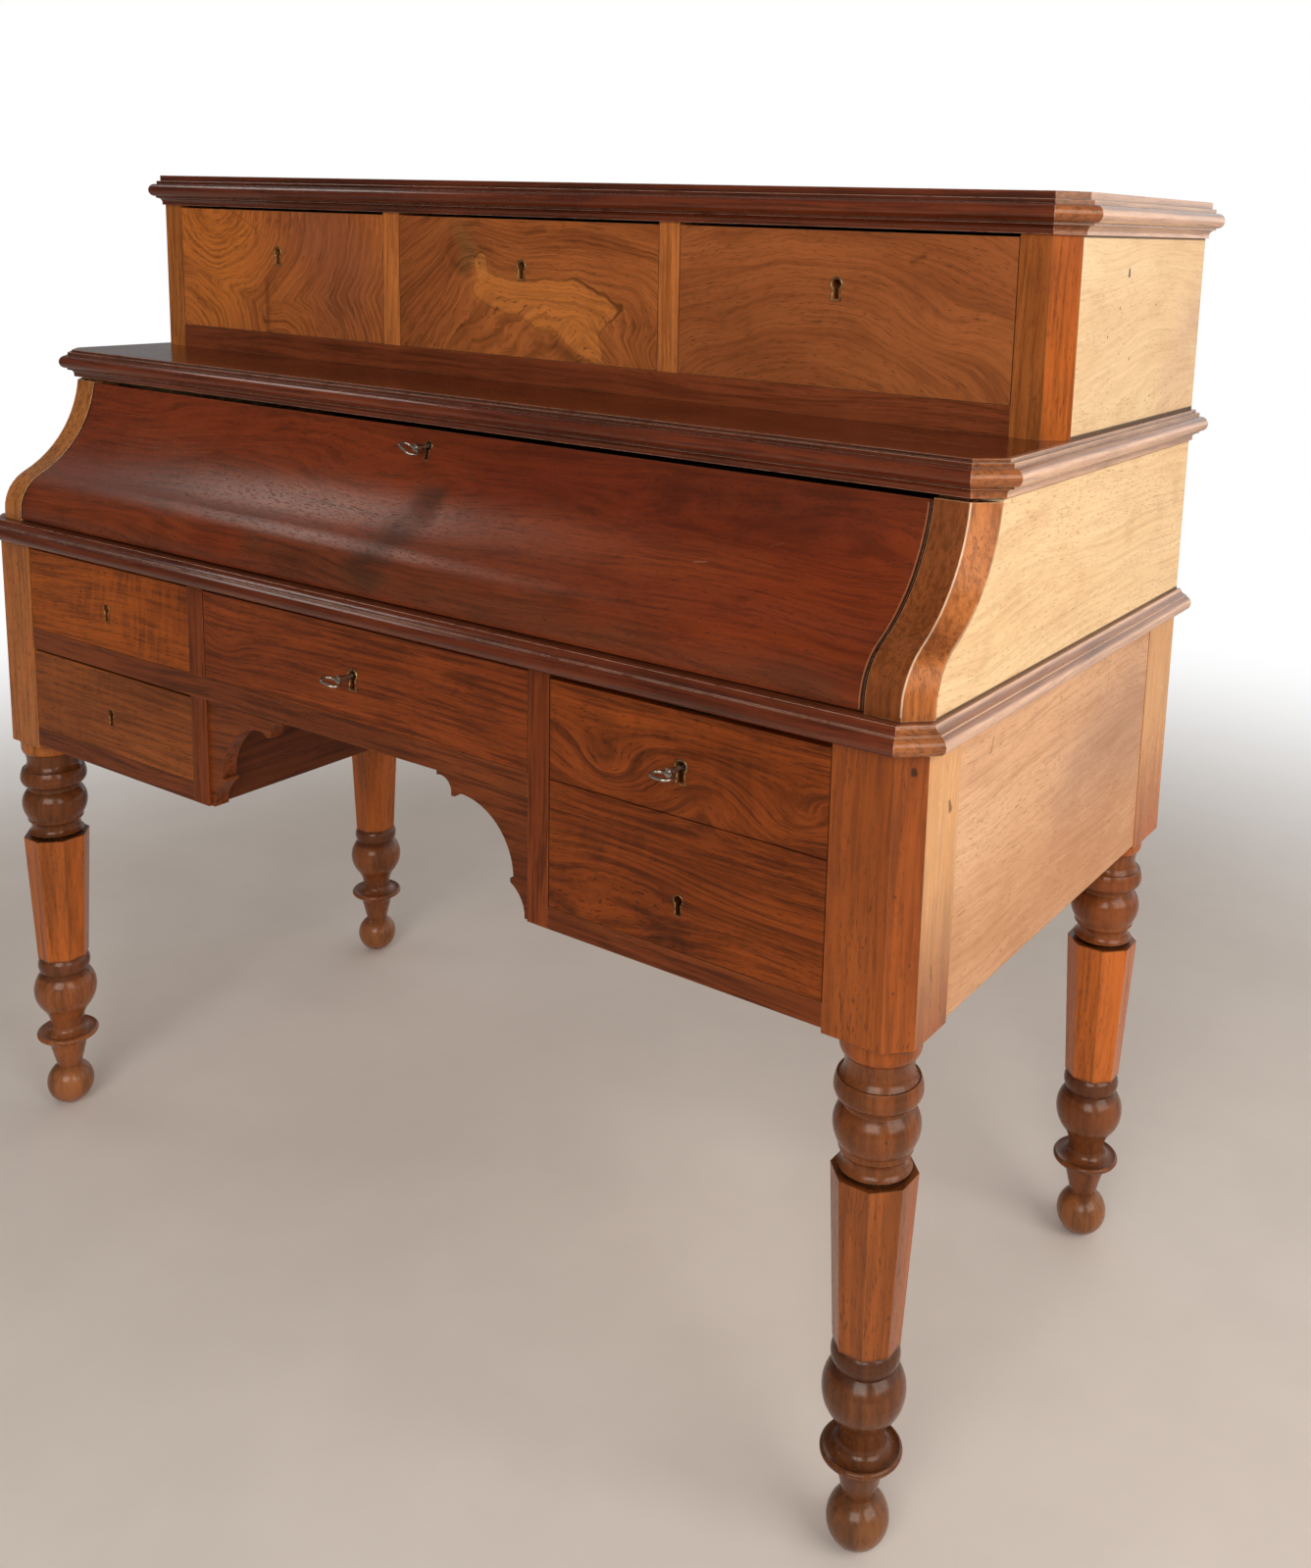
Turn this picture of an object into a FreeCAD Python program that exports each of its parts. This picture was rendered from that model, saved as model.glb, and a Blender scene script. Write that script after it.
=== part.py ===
import FreeCAD, Part
import math
import os
import re
import Sketcher

# A cylinder desk: a table base on four turned legs, a writing stage closed by a swinging
# ogee fall, and a row of three drawers on top. Millimetres, +X right, +Y back, +Z up, with the
# origin on the floor under the middle of the bounding box.

DOC = FreeCAD.newDocument("CylinderDesk")

# Driving sizes: each name is an alias in the sheet.
SIZES = {
    # The case
    "case_width": 1254, "case_depth": 600, "cant": 20, "side_board": 20, "back_board": 12,
    "joint_line": 0.1, "panel_set": 0.6,
    # Base, from the floor up
    "leg_height": 496, "block_drop": 4.5, "bottom_rail": 22, "low_drawer": 99.5, "middle_rail": 24.5,
    "top_drawer": 99.5, "bed_rise": 26, "bed_board": 24,
    # Base, across and back
    "post_width": 76, "post_depth": 76, "leg_inset": 40, "divider_width": 25, "rail_depth": 22,
    "knee_width": 462,
    "wall_board": 18, "floor_board": 16, "runner_width": 20, "runner_height": 16, "guide_height": 18,
    # Turned legs: radii, then heights from the block down to the shaft and from the floor up to it
    "drum_radius": 35, "drum_foot": 31.5, "neck_radius": 29.5, "lip_radius": 33.5, "lip_step": 2,
    "ring_radius": 38, "throat_radius": 30, "swell_radius": 37.5, "fillet_radius": 32, "cove_radius": 28,
    "shaft_top": 70, "shaft_bottom": 55,
    "collar_radius": 30.5, "waist_radius": 27, "bulb_radius": 37, "stem_radius": 19.5,
    "flange_radius": 36.5, "rim_radius": 34,
    "ankle_radius": 21, "ankle_foot": 14.5, "ball_radius": 28, "foot_radius": 6,
    "drum_height": 12, "drum_round": 8, "neck_height": 21, "ring_height": 22, "throat_height": 4,
    "swell_height": 36, "fillet_height": 4, "cove_height": 16, "shoulder_height": 5,
    "ankle_height": 27, "flange_under": 15, "flange_edge": 7, "flange_hollow": 8.5, "bulb_height": 49.5,
    "bulb_head": 24, "collar_height": 21,
    # Knee brackets
    "bracket_board": 18, "bracket_set": 3, "bracket_long": 119, "bracket_radius": 68, "bracket_tip": 12,
    # Waist moulding, outwards from the case
    "waist_height": 23, "waist_bead": 8, "waist_foot": 9, "waist_fillet": 11.5, "waist_cove": 10,
    "waist_cap": 4.5, "fillet_rise": 1.6,
    # Ogee of the writing stage
    "ogee_foot": 7, "ogee_rise": 10, "low_radius": 48, "high_radius": 137, "ogee_angle": 64,
    "ogee_end": 7.5, "stile_width": 53, "stile_depth": 34,
    # Top and cornice mouldings, from the bottom edge up
    "shadow_gap": 4, "top_height": 32.6, "cornice_height": 36.6, "top_board": 24, "cornice_board": 28,
    "lip_reach": 3.5, "lip_height": 3.3, "hollow_reach": 9.5, "hollow_height": 5, "shelf_reach": 10.5,
    "shelf_height": 2.2, "bead_reach": 19, "bead_radius": 7.6, "quirk_reach": 9.3, "quirk_height": 4,
    "ridge_reach": 5,
    # The ogee fall and its pivots
    "fall_board": 16, "fall_gap": 1.5, "fall_side_gap": 1.2, "fall_foot_gap": 2, "pivot_back": 41,
    "pivot_height": 16, "boss_radius": 14, "arm_board": 14, "arm_inset": 3, "pin_radius": 6,
    "pin_play": 0.05, "pin_depth": 22, "pivot_block": 64,
    # Locks and keys
    "lock_width": 60, "lock_depth": 14, "lock_plate": 1.5, "lock_below": 16, "bolt_width": 12,
    "bolt_board": 4, "bolt_foot": 12, "bolt_travel": 14, "bolt_play": 0.3, "strike_height": 3,
    "strike_width": 50, "strike_depth": 16, "key_reach": 36, "key_radius": 2.5, "key_play": 0.4,
    "collar_long": 5, "collar_size": 4, "bow_long": 17, "bow_wide": 24, "bow_wire": 1.4, "bit_long": 7.5,
    "bit_board": 2.4, "bit_wide": 4, "hole_radius": 4.6, "slot_width": 5, "slot_long": 14,
    "drawer_key_drop": 49, "fall_key_drop": 16.5, "fall_lock_set": 3.3,
    "fall_key_turn": 28, "centre_key_turn": 12, "right_key_turn": 3,
    # Drawers
    "drawer_front": 20, "drawer_side": 10, "drawer_floor": 7, "floor_raise": 6, "front_set": 0.5,
    "front_gap": 1.2, "head_gap": 3.2, "running_gap": 0.3, "side_gap": 1.6, "side_drop": 12,
    "drawer_rear_gap": 16, "right_sag": 2.5, "sham_line": 1.2, "sham_depth": 1.5,
    # Upper case
    "upper_setback": 244, "upper_post": 50, "upper_post_depth": 46, "upper_rail": 28, "upper_drawer": 150.5,
    "upper_middle": 371, "upper_floor_board": 14,
    # Nest of small compartments behind the fall
    "nest_gap": 77, "nest_front": 300, "nest_height": 92, "nest_board": 10, "nest_middle": 540,
    "nest_side": 8, "nest_front_board": 12, "knob_radius": 7, "knob_long": 14, "knob_neck": 3.5,
}

# Levels and places worked out from the sizes. y is counted from the front of the base.
HALF = "(case_width / 2)"
FRONT = "((key_reach - front_set - case_depth) / 2)"
Z_RAIL = "(leg_height + block_drop)"
Z_FLOOR = f"({Z_RAIL} + bottom_rail)"
Z_MID = f"({Z_FLOOR} + low_drawer)"
Z_MID_TOP = f"({Z_MID} + middle_rail)"
Z_WAIST = f"({Z_MID_TOP} + top_drawer)"
Z_BED = f"({Z_WAIST} + bed_rise)"
Z_BED_LOW = f"({Z_BED} - bed_board)"
OGEE_MID_Y = "(ogee_foot + low_radius * (1 - cos(ogee_angle)))"
OGEE_MID_Z = f"({Z_BED} + ogee_rise + low_radius * sin(ogee_angle))"
OGEE_TOP_Y = f"({OGEE_MID_Y} + high_radius * (cos(ogee_end) - cos(ogee_angle)))"
Z_OGEE = f"({OGEE_MID_Z} + high_radius * (sin(ogee_angle) - sin(ogee_end)))"
Z_TOP = f"({Z_OGEE} + shadow_gap + top_height)"
Z_SOFFIT = f"({Z_TOP} - top_board)"
Z_UPPER = f"({Z_TOP} + upper_rail)"
Z_CORNICE = f"({Z_UPPER} + upper_drawer)"
Z_CROWN = f"({Z_CORNICE} + cornice_height)"
Z_LID = f"({Z_CROWN} - cornice_board)"
Z_NEST = f"({Z_BED} + nest_height)"
INNER = f"({HALF} - side_board)"
POST = f"({HALF} - post_width)"
KNEE = "(knee_width / 2)"
DIVIDER = f"({KNEE} + divider_width)"
UPPER_POST = f"({HALF} - upper_post)"
UPPER_MIDDLE = "(upper_middle / 2)"
UPPER_DIVIDER = f"({UPPER_MIDDLE} + divider_width)"
REAR = "(case_depth - back_board)"
DRAWER_REAR = f"({REAR} - drawer_rear_gap)"
PIVOT_Y = f"({OGEE_TOP_Y} + pivot_back)"
PIVOT_Z = f"({Z_BED} + pivot_height)"
FALL_LOCK_Y = f"({OGEE_TOP_Y} + fall_lock_set)"
FALL_HALF = f"({HALF} - stile_width - fall_side_gap)"
FALL_SIN = "(sin(ogee_end) + fall_gap / high_radius)"
FALL_COS = f"sqrt(1 - {FALL_SIN} ^ 2)"
MITRE = "tan(22.5)"

SHEET = DOC.addObject("Spreadsheet::Sheet", "Sizes")
NODES = []


def fill_sheet():
    """Write every driving size into the sheet under its alias."""
    for row, (name, size) in enumerate(SIZES.items(), start=1):
        SHEET.set(f"A{row}", name)
        SHEET.set(f"B{row}", str(size))
        SHEET.setAlias(f"B{row}", name)
    DOC.recompute()


def sized(expression):
    """Lead each size's name with the name of the sheet."""
    def lead(found):
        word = found.group()
        return f"Sizes.{word}" if word in SIZES else word
    return re.sub(r"[A-Za-z_]\w*", lead, str(expression))


def value(expression):
    """Work an expression out to a number."""
    result = SHEET.evalExpression(sized(expression))
    return float(getattr(result, "Value", result))


def bind(item, prop, expression):
    """Tie a property to an expression on the sheet's sizes."""
    item.setExpression(prop, sized(expression))


def seat(item, x="0", y="0", z="0"):
    """Place an item, with y counted from the front of the base."""
    bind(item, "Placement.Base.x", x)
    bind(item, "Placement.Base.y", f"{FRONT} + {y}")
    bind(item, "Placement.Base.z", z)


def node(label, item):
    """Name a finished sub-part and keep it for writing."""
    item.Label = label
    NODES.append(item)
    return item


def group(label, members):
    """Keep several separate solids as one sub-part."""
    item = DOC.addObject("Part::Compound", "Group")
    item.Links = members
    return node(label, item)


def board(x, y, z):
    """A square-edged board between pairs of x, y and z."""
    box = DOC.addObject("Part::Box", "Board")
    bind(box, "Length", f"({x[1]}) - ({x[0]})")
    bind(box, "Width", f"({y[1]}) - ({y[0]})")
    bind(box, "Height", f"({z[1]}) - ({z[0]})")
    seat(box, x[0], y[0], z[0])
    return box


def mirrored(span):
    """The same span of x on the left-hand side."""
    return (f"-({span[1]})", f"-({span[0]})")


def board_pair(x, y, z):
    """A board on the right and its twin on the left."""
    return [board(x, y, z), board(mirrored(x), y, z)]


def rod(radius, x, y, z, length, axis):
    """A round rod from a point, along X or Y."""
    cylinder = DOC.addObject("Part::Cylinder", "Rod")
    bind(cylinder, "Radius", radius)
    bind(cylinder, "Height", length)
    turned = FreeCAD.Vector(0, 1, 0) if axis == "X" else FreeCAD.Vector(-1, 0, 0)
    cylinder.Placement = FreeCAD.Placement(FreeCAD.Vector(), FreeCAD.Rotation(turned, 90))
    seat(cylinder, x, y, z)
    return cylinder


def cut(base, tools):
    """Take each tool out of the base in turn."""
    for tool in tools:
        item = DOC.addObject("Part::Cut", "Cut")
        item.Base = base
        item.Tool = tool
        base = item
    return base


def new_body(name):
    """A body to build features in."""
    return DOC.addObject("PartDesign::Body", name)


def new_sketch(body, plane, lift="0"):
    """A sketch on one of the body's origin planes, lifted along the plane's normal."""
    sketch = body.newObject("Sketcher::SketchObject", "Sketch")
    support = next(part for part in body.Origin.OriginFeatures if part.Role == plane)
    sketch.AttachmentSupport = [(support, "")]
    sketch.MapMode = "FlatFace"
    bind(sketch, "AttachmentOffset.Base.z", lift)
    return sketch


def arc_edge(start, end, radius, turn):
    """The shorter arc between two points; turn is 1 anticlockwise and -1 clockwise."""
    chord = end - start
    middle = (start + end) * 0.5
    rise = math.sqrt(max(radius ** 2 - (chord.Length / 2) ** 2, 0.0))
    left = FreeCAD.Vector(-chord.y, chord.x, 0).normalize()
    centre = middle + left * rise * turn
    angles = [math.atan2(point.y - centre.y, point.x - centre.x) for point in (start, end)]
    if turn < 0:
        angles.reverse()
    circle = Part.Circle(centre, FreeCAD.Vector(0, 0, 1), radius)
    return Part.ArcOfCircle(circle, angles[0], angles[1])


def draw(sketch, corners, closed=True, holes=()):
    """Draw an outline whose corners are tied to expressions.

    A corner is (x, y), reached by a straight edge, or (x, y, radius, turn), reached by an arc.
    """
    points = [FreeCAD.Vector(value(corner[0]), value(corner[1]), 0) for corner in corners]
    first = 0 if closed else 1
    ends = []
    for index in range(first, len(corners)):
        start, end = points[index - 1], points[index]
        bend = corners[index][2:]
        if bend:
            edge = sketch.addGeometry(arc_edge(start, end, value(bend[0]), bend[1]))
            radius = sketch.addConstraint(Sketcher.Constraint("Radius", edge, value(bend[0])))
            bind(sketch, f"Constraints[{radius}]", bend[0])
            ends.append((edge, 2, 1) if bend[1] < 0 else (edge, 1, 2))
        else:
            edge = sketch.addGeometry(Part.LineSegment(start, end))
            ends.append((edge, 1, 2))
    for index, (edge, _, tail) in enumerate(ends):
        follower = ends[(index + 1) % len(ends)]
        if closed or index + 1 < len(ends):
            sketch.addConstraint(Sketcher.Constraint("Coincident", edge, tail, follower[0], follower[1]))
        hold(sketch, edge, tail, corners[first + index], points[first + index])
    if ends and not closed:
        hold(sketch, ends[0][0], ends[0][1], corners[0], points[0])
    for x, y, radius in holes:
        centre = FreeCAD.Vector(value(x), value(y), 0)
        edge = sketch.addGeometry(Part.Circle(centre, FreeCAD.Vector(0, 0, 1), value(radius)))
        size = sketch.addConstraint(Sketcher.Constraint("Radius", edge, value(radius)))
        bind(sketch, f"Constraints[{size}]", radius)
        hold(sketch, edge, 3, (x, y), centre)
    return sketch


def hold(sketch, edge, spot, corner, point):
    """Fix one point of an edge at a corner's x and y."""
    for kind, expression, size in (("DistanceX", corner[0], point.x), ("DistanceY", corner[1], point.y)):
        index = sketch.addConstraint(Sketcher.Constraint(kind, edge, spot, size))
        bind(sketch, f"Constraints[{index}]", expression)


def pad(body, sketch, length, back="0"):
    """Thicken a sketch along its normal, and backwards too where asked."""
    feature = body.newObject("PartDesign::Pad", "Pad")
    feature.Profile = sketch
    bind(feature, "Length", length)
    if back != "0":
        feature.SideType = "Two sides"
        bind(feature, "Length2", back)
    return feature


def pocket(body, sketch, length):
    """Cut a sketch along its normal."""
    feature = body.newObject("PartDesign::Pocket", "Pocket")
    feature.Profile = sketch
    feature.Reversed = True
    bind(feature, "Length", length)
    return feature


def turned_arc(radii, levels, turn):
    """A corner reached by an arc that runs parallel to the axis where it is widest or narrowest."""
    rise = f"(({levels[0]}) - ({levels[1]}))"
    out = f"abs({radii[0]} - {radii[1]})"
    return (radii[1], levels[1], f"({rise} ^ 2 + {out} ^ 2) / (2 * {out})", turn)


def bulge(start, head, middle, end, foot, turn):
    """Two corners of a swelling (turn -1) or a hollow (turn 1) whose middle radius is at half height."""
    waist = f"(({head}) + ({foot})) / 2"
    return [turned_arc((start, middle), (head, waist), turn), turned_arc((middle, end), (waist, foot), turn)]


def leg_profile():
    """Radius and height of the turned part, from the block down to the floor and back up the axis."""
    drum = "(leg_height - drum_height)"
    hollow = f"({drum} - drum_round)"
    neck = f"({hollow} - neck_height)"
    ring = f"({neck} - ring_height)"
    throat = f"({ring} - throat_height)"
    swell = f"({throat} - swell_height)"
    fillet = f"({swell} - fillet_height)"
    cove = f"({fillet} - cove_height)"
    shaft_head = f"({cove} - shoulder_height)"
    ball = "(ball_radius + sqrt(ball_radius ^ 2 - ankle_foot ^ 2))"
    ankle = f"({ball} + ankle_height)"
    rim = f"({ankle} + flange_under)"
    flange = f"({rim} + flange_edge)"
    stem = f"({flange} + flange_hollow)"
    bulb = f"({stem} + bulb_height)"
    collar = f"({bulb} + bulb_head)"
    shaft_foot = f"({collar} + collar_height)"
    lip = "(lip_radius + lip_step)"
    bend = ("(bulb_radius + stem_radius) / 2", f"({bulb} + {stem}) / 2")
    foot = "(ball_radius - sqrt(ball_radius ^ 2 - foot_radius ^ 2))"
    profile = [("0", "leg_height"), ("drum_radius", "leg_height"), ("drum_radius", drum)]
    profile.append(turned_arc(("drum_radius", "drum_foot"), (drum, hollow), -1))
    profile += bulge("drum_foot", hollow, "neck_radius", "lip_radius", neck, 1)
    profile.append((lip, neck))
    profile += bulge(lip, neck, "ring_radius", "throat_radius", ring, -1)
    profile.append(("throat_radius", throat))
    profile += bulge("throat_radius", throat, "swell_radius", "fillet_radius", swell, -1)
    profile.append(("fillet_radius", fillet))
    profile += bulge("fillet_radius", fillet, "cove_radius", "fillet_radius", cove, 1)
    profile += [("waist_radius", shaft_head), ("waist_radius", shaft_foot)]
    profile += bulge("waist_radius", shaft_foot, "collar_radius", "waist_radius", collar, -1)
    profile += [
        turned_arc(("waist_radius", "bulb_radius"), (collar, bulb), -1),
        turned_arc(("bulb_radius", bend[0]), (bulb, bend[1]), -1),
        turned_arc((bend[0], "stem_radius"), (bend[1], stem), 1),
        turned_arc(("stem_radius", "rim_radius"), (stem, flange), 1),
    ]
    profile += bulge("rim_radius", flange, "flange_radius", "rim_radius", rim, -1)
    profile += [
        turned_arc(("rim_radius", "ankle_radius"), (rim, ankle), 1), ("ankle_foot", ball),
        ("ball_radius", "ball_radius", "ball_radius", -1), ("foot_radius", foot, "ball_radius", -1),
        ("foot_radius", "0"), ("0", "0"),
    ]
    return profile, shaft_head, shaft_foot


def octagon(size):
    """Corners of a regular octagon of a given width across its flats."""
    flat = f"{size} / 2"
    half_side = f"{size} / 2 * {MITRE}"
    quarter = [(flat, half_side), (half_side, flat)]
    corners = []
    for x_sign, y_sign, order in (("", "", 1), ("-", "", -1), ("-", "-", 1), ("", "-", -1)):
        corners += [(f"{x_sign}{x}", f"{y_sign}{y}") for x, y in quarter[::order]]
    return corners


def leg(label, x_sign, front):
    """A corner leg: square post, turned neck and foot, and a tapered eight-sided shaft between."""
    body = new_body("Leg")
    profile, shaft_head, shaft_foot = leg_profile()
    turning = draw(new_sketch(body, "XZ_Plane"), profile)
    revolution = body.newObject("PartDesign::Revolution", "Turning")
    revolution.Profile = turning
    revolution.ReferenceAxis = (turning, ["V_Axis"])
    revolution.Angle = 360
    shaft = body.newObject("PartDesign::AdditiveLoft", "Shaft")
    shaft.Profile = draw(new_sketch(body, "XY_Plane", shaft_head), octagon("shaft_top"))
    shaft.Sections = [draw(new_sketch(body, "XY_Plane", shaft_foot), octagon("shaft_bottom"))]
    shaft.Ruled = True
    wide = f"{x_sign}leg_inset"
    inner = f"{x_sign}(leg_inset - post_width)"
    deep = "post_depth / 2"
    corners = [(inner, f"-{deep}"), (wide, f"-{deep}"), (wide, deep), (inner, deep)]
    if front:
        canted = f"{x_sign}(leg_inset - cant)"
        corners[1:2] = [(canted, f"-{deep}"), (wide, f"cant - {deep}")]
    block = draw(new_sketch(body, "XY_Plane", "leg_height"), corners)
    pad(body, block, f"{Z_BED_LOW} - leg_height")
    y = "post_depth / 2" if front else "case_depth - post_depth / 2"
    seat(body, f"{x_sign}({HALF} - leg_inset)", y)
    return node(label, body)


def knee_bracket(x_sign):
    """A scroll-cut bracket in a top corner of the knee-hole."""
    body = new_body("Bracket")
    turn = -1 if x_sign else 1
    side = KNEE
    tip = f"{KNEE} - bracket_long"
    arc_start = f"{side} - bracket_radius - bracket_tip * 5 / 3"
    arc_end = f"{side} - bracket_tip * 5 / 3"
    arc_top = f"{Z_MID} - bracket_tip * 1.5"
    arc_low = f"{arc_top} - bracket_radius"
    corners = [
        (side, Z_MID), (tip, Z_MID), (tip, f"{Z_MID} - bracket_tip / 2"),
        (f"{arc_start} - bracket_tip", f"{arc_top} - bracket_tip * 0.4", "bracket_tip * 1.2", -turn),
        (f"{arc_start} - bracket_tip * 0.6", f"{arc_top} - bracket_tip * 0.4"),
        (arc_start, arc_top),
        (arc_end, arc_low, "bracket_radius", -turn),
        (f"{arc_end} - bracket_tip / 3", arc_low),
        (f"{arc_end} - bracket_tip / 3", f"{arc_low} - bracket_tip / 3"),
        (f"{side} - bracket_tip / 2", f"{Z_RAIL} + bracket_tip / 2", "bracket_tip * 3", -turn),
        (f"{side} - bracket_tip / 2", Z_RAIL), (side, Z_RAIL),
    ]
    corners = [(f"{x_sign}({corner[0]})",) + tuple(corner[1:]) for corner in corners]
    pad(body, draw(new_sketch(body, "XZ_Plane"), corners), "bracket_board")
    seat(body, "0", "bracket_set + bracket_board")
    return body


def canted_board(y, z):
    """A top whose two front corners are cut off at the cant."""
    body = new_body("Top")
    corners = [
        (f"-({HALF} - cant)", y), (f"{HALF} - cant", y), (HALF, f"{y} + cant"), (HALF, "case_depth"),
        (f"-{HALF}", "case_depth"), (f"-{HALF}", f"{y} + cant"),
    ]
    pad(body, draw(new_sketch(body, "XY_Plane", z[0]), corners), f"{z[1]} - {z[0]}")
    seat(body)
    return body


WAIST_BEAD_TOP = "(waist_bead + sqrt(waist_bead ^ 2 - (waist_fillet - waist_foot) ^ 2))"
WAIST_PROFILE = [
    ("0", "0"), ("waist_foot", "0"), ("waist_fillet", WAIST_BEAD_TOP, "waist_bead", 1),
    ("waist_fillet", f"{WAIST_BEAD_TOP} + fillet_rise"), ("waist_cove", f"{WAIST_BEAD_TOP} + fillet_rise"),
    ("waist_cap", "waist_height", "waist_bead", -1), ("0", "waist_height"),
]


def crown_profile(height):
    """Outline of the top and cornice mouldings: lip, hollow, shelf, bead, quirk and ridge."""
    hollow = "(lip_height + hollow_height)"
    bead_foot = f"({hollow} + shelf_height)"
    bead_middle = f"({bead_foot} + bead_radius)"
    bead_head = f"({bead_middle} + bead_radius)"
    quirk = f"({bead_head} + quirk_height)"
    bead_root = "bead_reach - bead_radius"
    return [
        ("0", "0"), ("lip_reach", "0"), ("lip_reach", "lip_height"),
        ("hollow_reach", hollow, "hollow_reach - lip_reach", -1), ("shelf_reach", hollow),
        ("shelf_reach", bead_foot), (bead_root, bead_foot),
        ("bead_reach", bead_middle, "bead_radius", 1), (bead_root, bead_head, "bead_radius", 1),
        ("quirk_reach", bead_head), ("quirk_reach", quirk), ("ridge_reach", quirk), ("ridge_reach", height),
        ("0", height),
    ]


def moulding_strip(profile, reach, height, run, mitres):
    """One length of moulding along +X, with its outer side on +Y and its ends mitred where asked."""
    body = new_body("Strip")
    spare = f"{reach} * {MITRE}"
    ahead = f"{run} + {spare}" if mitres[1] else run
    behind = spare if mitres[0] else "0"
    pad(body, draw(new_sketch(body, "YZ_Plane"), profile), ahead, behind)
    wedges = []
    if mitres[0]:
        wedges.append([("0", "0"), (f"-{spare}", reach), (f"-{spare}", "0")])
    if mitres[1]:
        wedges.append([(run, "0"), (f"{run} + {spare}", "0"), (f"{run} + {spare}", reach)])
    for wedge in wedges:
        pocket(body, draw(new_sketch(body, "XY_Plane"), wedge), height)
    return body


def moulding(label, profile, reach, height, y, z):
    """A moulding along the sides, round the canted corners and across the front of a stage."""
    slant = "cant * sqrt(2)"
    side_run = f"case_depth - {y} - cant"
    lengths = [
        (side_run, (False, True), -90, HALF, "case_depth"),
        (slant, (True, True), -135, HALF, f"{y} + cant"),
        ("case_width - 2 * cant", (True, True), 180, f"{HALF} - cant", y),
        (slant, (True, True), 135, f"-({HALF} - cant)", y),
        (side_run, (True, False), 90, f"-{HALF}", f"{y} + cant"),
    ]
    strips = []
    for run, mitres, angle, x, start in lengths:
        strip = moulding_strip(profile, reach, height, run, mitres)
        turned = FreeCAD.Rotation(FreeCAD.Vector(0, 0, 1), angle)
        strip.Placement = FreeCAD.Placement(FreeCAD.Vector(), turned)
        seat(strip, x, start, z)
        strips.append(strip)
    return group(label, strips)


def ogee_curve(shift="0", inset="0", foot="0", sine="sin(ogee_end)", cosine="cos(ogee_end)"):
    """Corners up the ogee in y and z, moved back by shift and set in square to the face by inset."""
    y = f"ogee_foot + {shift} + {inset}"
    return [
        (y, f"{Z_BED} + {foot}"), (y, f"{Z_BED} + ogee_rise"),
        (f"{OGEE_MID_Y} + {shift} + {inset} * cos(ogee_angle)", f"{OGEE_MID_Z} - {inset} * sin(ogee_angle)",
         f"low_radius - {inset}", -1),
        (f"{OGEE_MID_Y} + {shift} + high_radius * ({cosine} - cos(ogee_angle)) + {inset} * {cosine}",
         f"{OGEE_MID_Z} + high_radius * (sin(ogee_angle) - {sine}) - {inset} * {sine}",
         f"high_radius + {inset}", 1),
    ]


def reversed_path(corners):
    """The same edges drawn the other way."""
    back = [tuple(corners[-1][:2])]
    for index in range(len(corners) - 1, 0, -1):
        bend = corners[index][2:]
        turned = (bend[0], -bend[1]) if bend else ()
        back.append(tuple(corners[index - 1][:2]) + turned)
    return back


def post_section(x_sign, width, depth, y):
    """Plan of a canted corner post: its cant meets the outside of the side board behind it."""
    corners = [
        (f"{HALF} - {width}", y), (f"{HALF} - cant", y), (HALF, f"{y} + cant"),
        (f"{INNER} - joint_line", f"{y} + cant"), (f"{INNER} - joint_line", f"{y} + {depth}"),
        (f"{HALF} - {width}", f"{y} + {depth}"),
    ]
    return [(f"{x_sign}({x})", row) for x, row in corners]


def ogee_stile(x_sign):
    """The ogee end of the writing stage: a canted post swept up the curve, with a tongue into the top."""
    body = new_body("Stile")
    plan = post_section(x_sign, "stile_width", "stile_depth", "ogee_foot")
    section = draw(new_sketch(body, "XY_Plane", Z_BED), plan)
    spine = draw(new_sketch(body, "YZ_Plane"), ogee_curve(), closed=False)
    sweep = body.newObject("PartDesign::AdditivePipe", "Sweep")
    sweep.Profile = section
    sweep.Spine = (spine, [f"Edge{index}" for index in (1, 2, 3)])
    sweep.Mode = "Fixed"
    inner = f"{HALF} - stile_width"
    tongue = [(inner, f"{OGEE_TOP_Y} + cant / 2"), (f"{INNER} - joint_line", f"{OGEE_TOP_Y} + cant / 2"),
              (f"{INNER} - joint_line", f"{OGEE_TOP_Y} + stile_depth"), (inner, f"{OGEE_TOP_Y} + stile_depth")]
    head = draw(new_sketch(body, "XY_Plane", Z_OGEE), [(f"{x_sign}({x})", y) for x, y in tongue])
    pad(body, head, f"{Z_SOFFIT} - {Z_OGEE}")
    seat(body)
    return body


def ogee_side(x):
    """A side board of the writing stage, cut to the ogee along its front edge."""
    body = new_body("OgeeSide")
    curve = ogee_curve(shift="(cant + joint_line)")
    corners = curve + [
        (f"{OGEE_TOP_Y} + cant + joint_line", Z_SOFFIT), ("case_depth", Z_SOFFIT), ("case_depth", Z_BED),
    ]
    pad(body, draw(new_sketch(body, "YZ_Plane"), corners), "side_board")
    seat(body, x)
    return body


def straight_post(x_sign):
    """A canted front post of the upper case."""
    body = new_body("UpperPost")
    section = post_section(x_sign, "upper_post", "upper_post_depth", "upper_setback")
    pad(body, draw(new_sketch(body, "XY_Plane", Z_TOP), section), f"{Z_LID} - {Z_TOP}")
    seat(body)
    return body


def keyhole(x, z, y):
    """Tools for a keyhole: a round bore over a slot."""
    slot = board((f"{x} - slot_width / 2", f"{x} + slot_width / 2"), y, (f"{z} - slot_long", z))
    return [rod("hole_radius", x, y[0], z, f"({y[1]}) - ({y[0]})", "Y"), slot]


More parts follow.
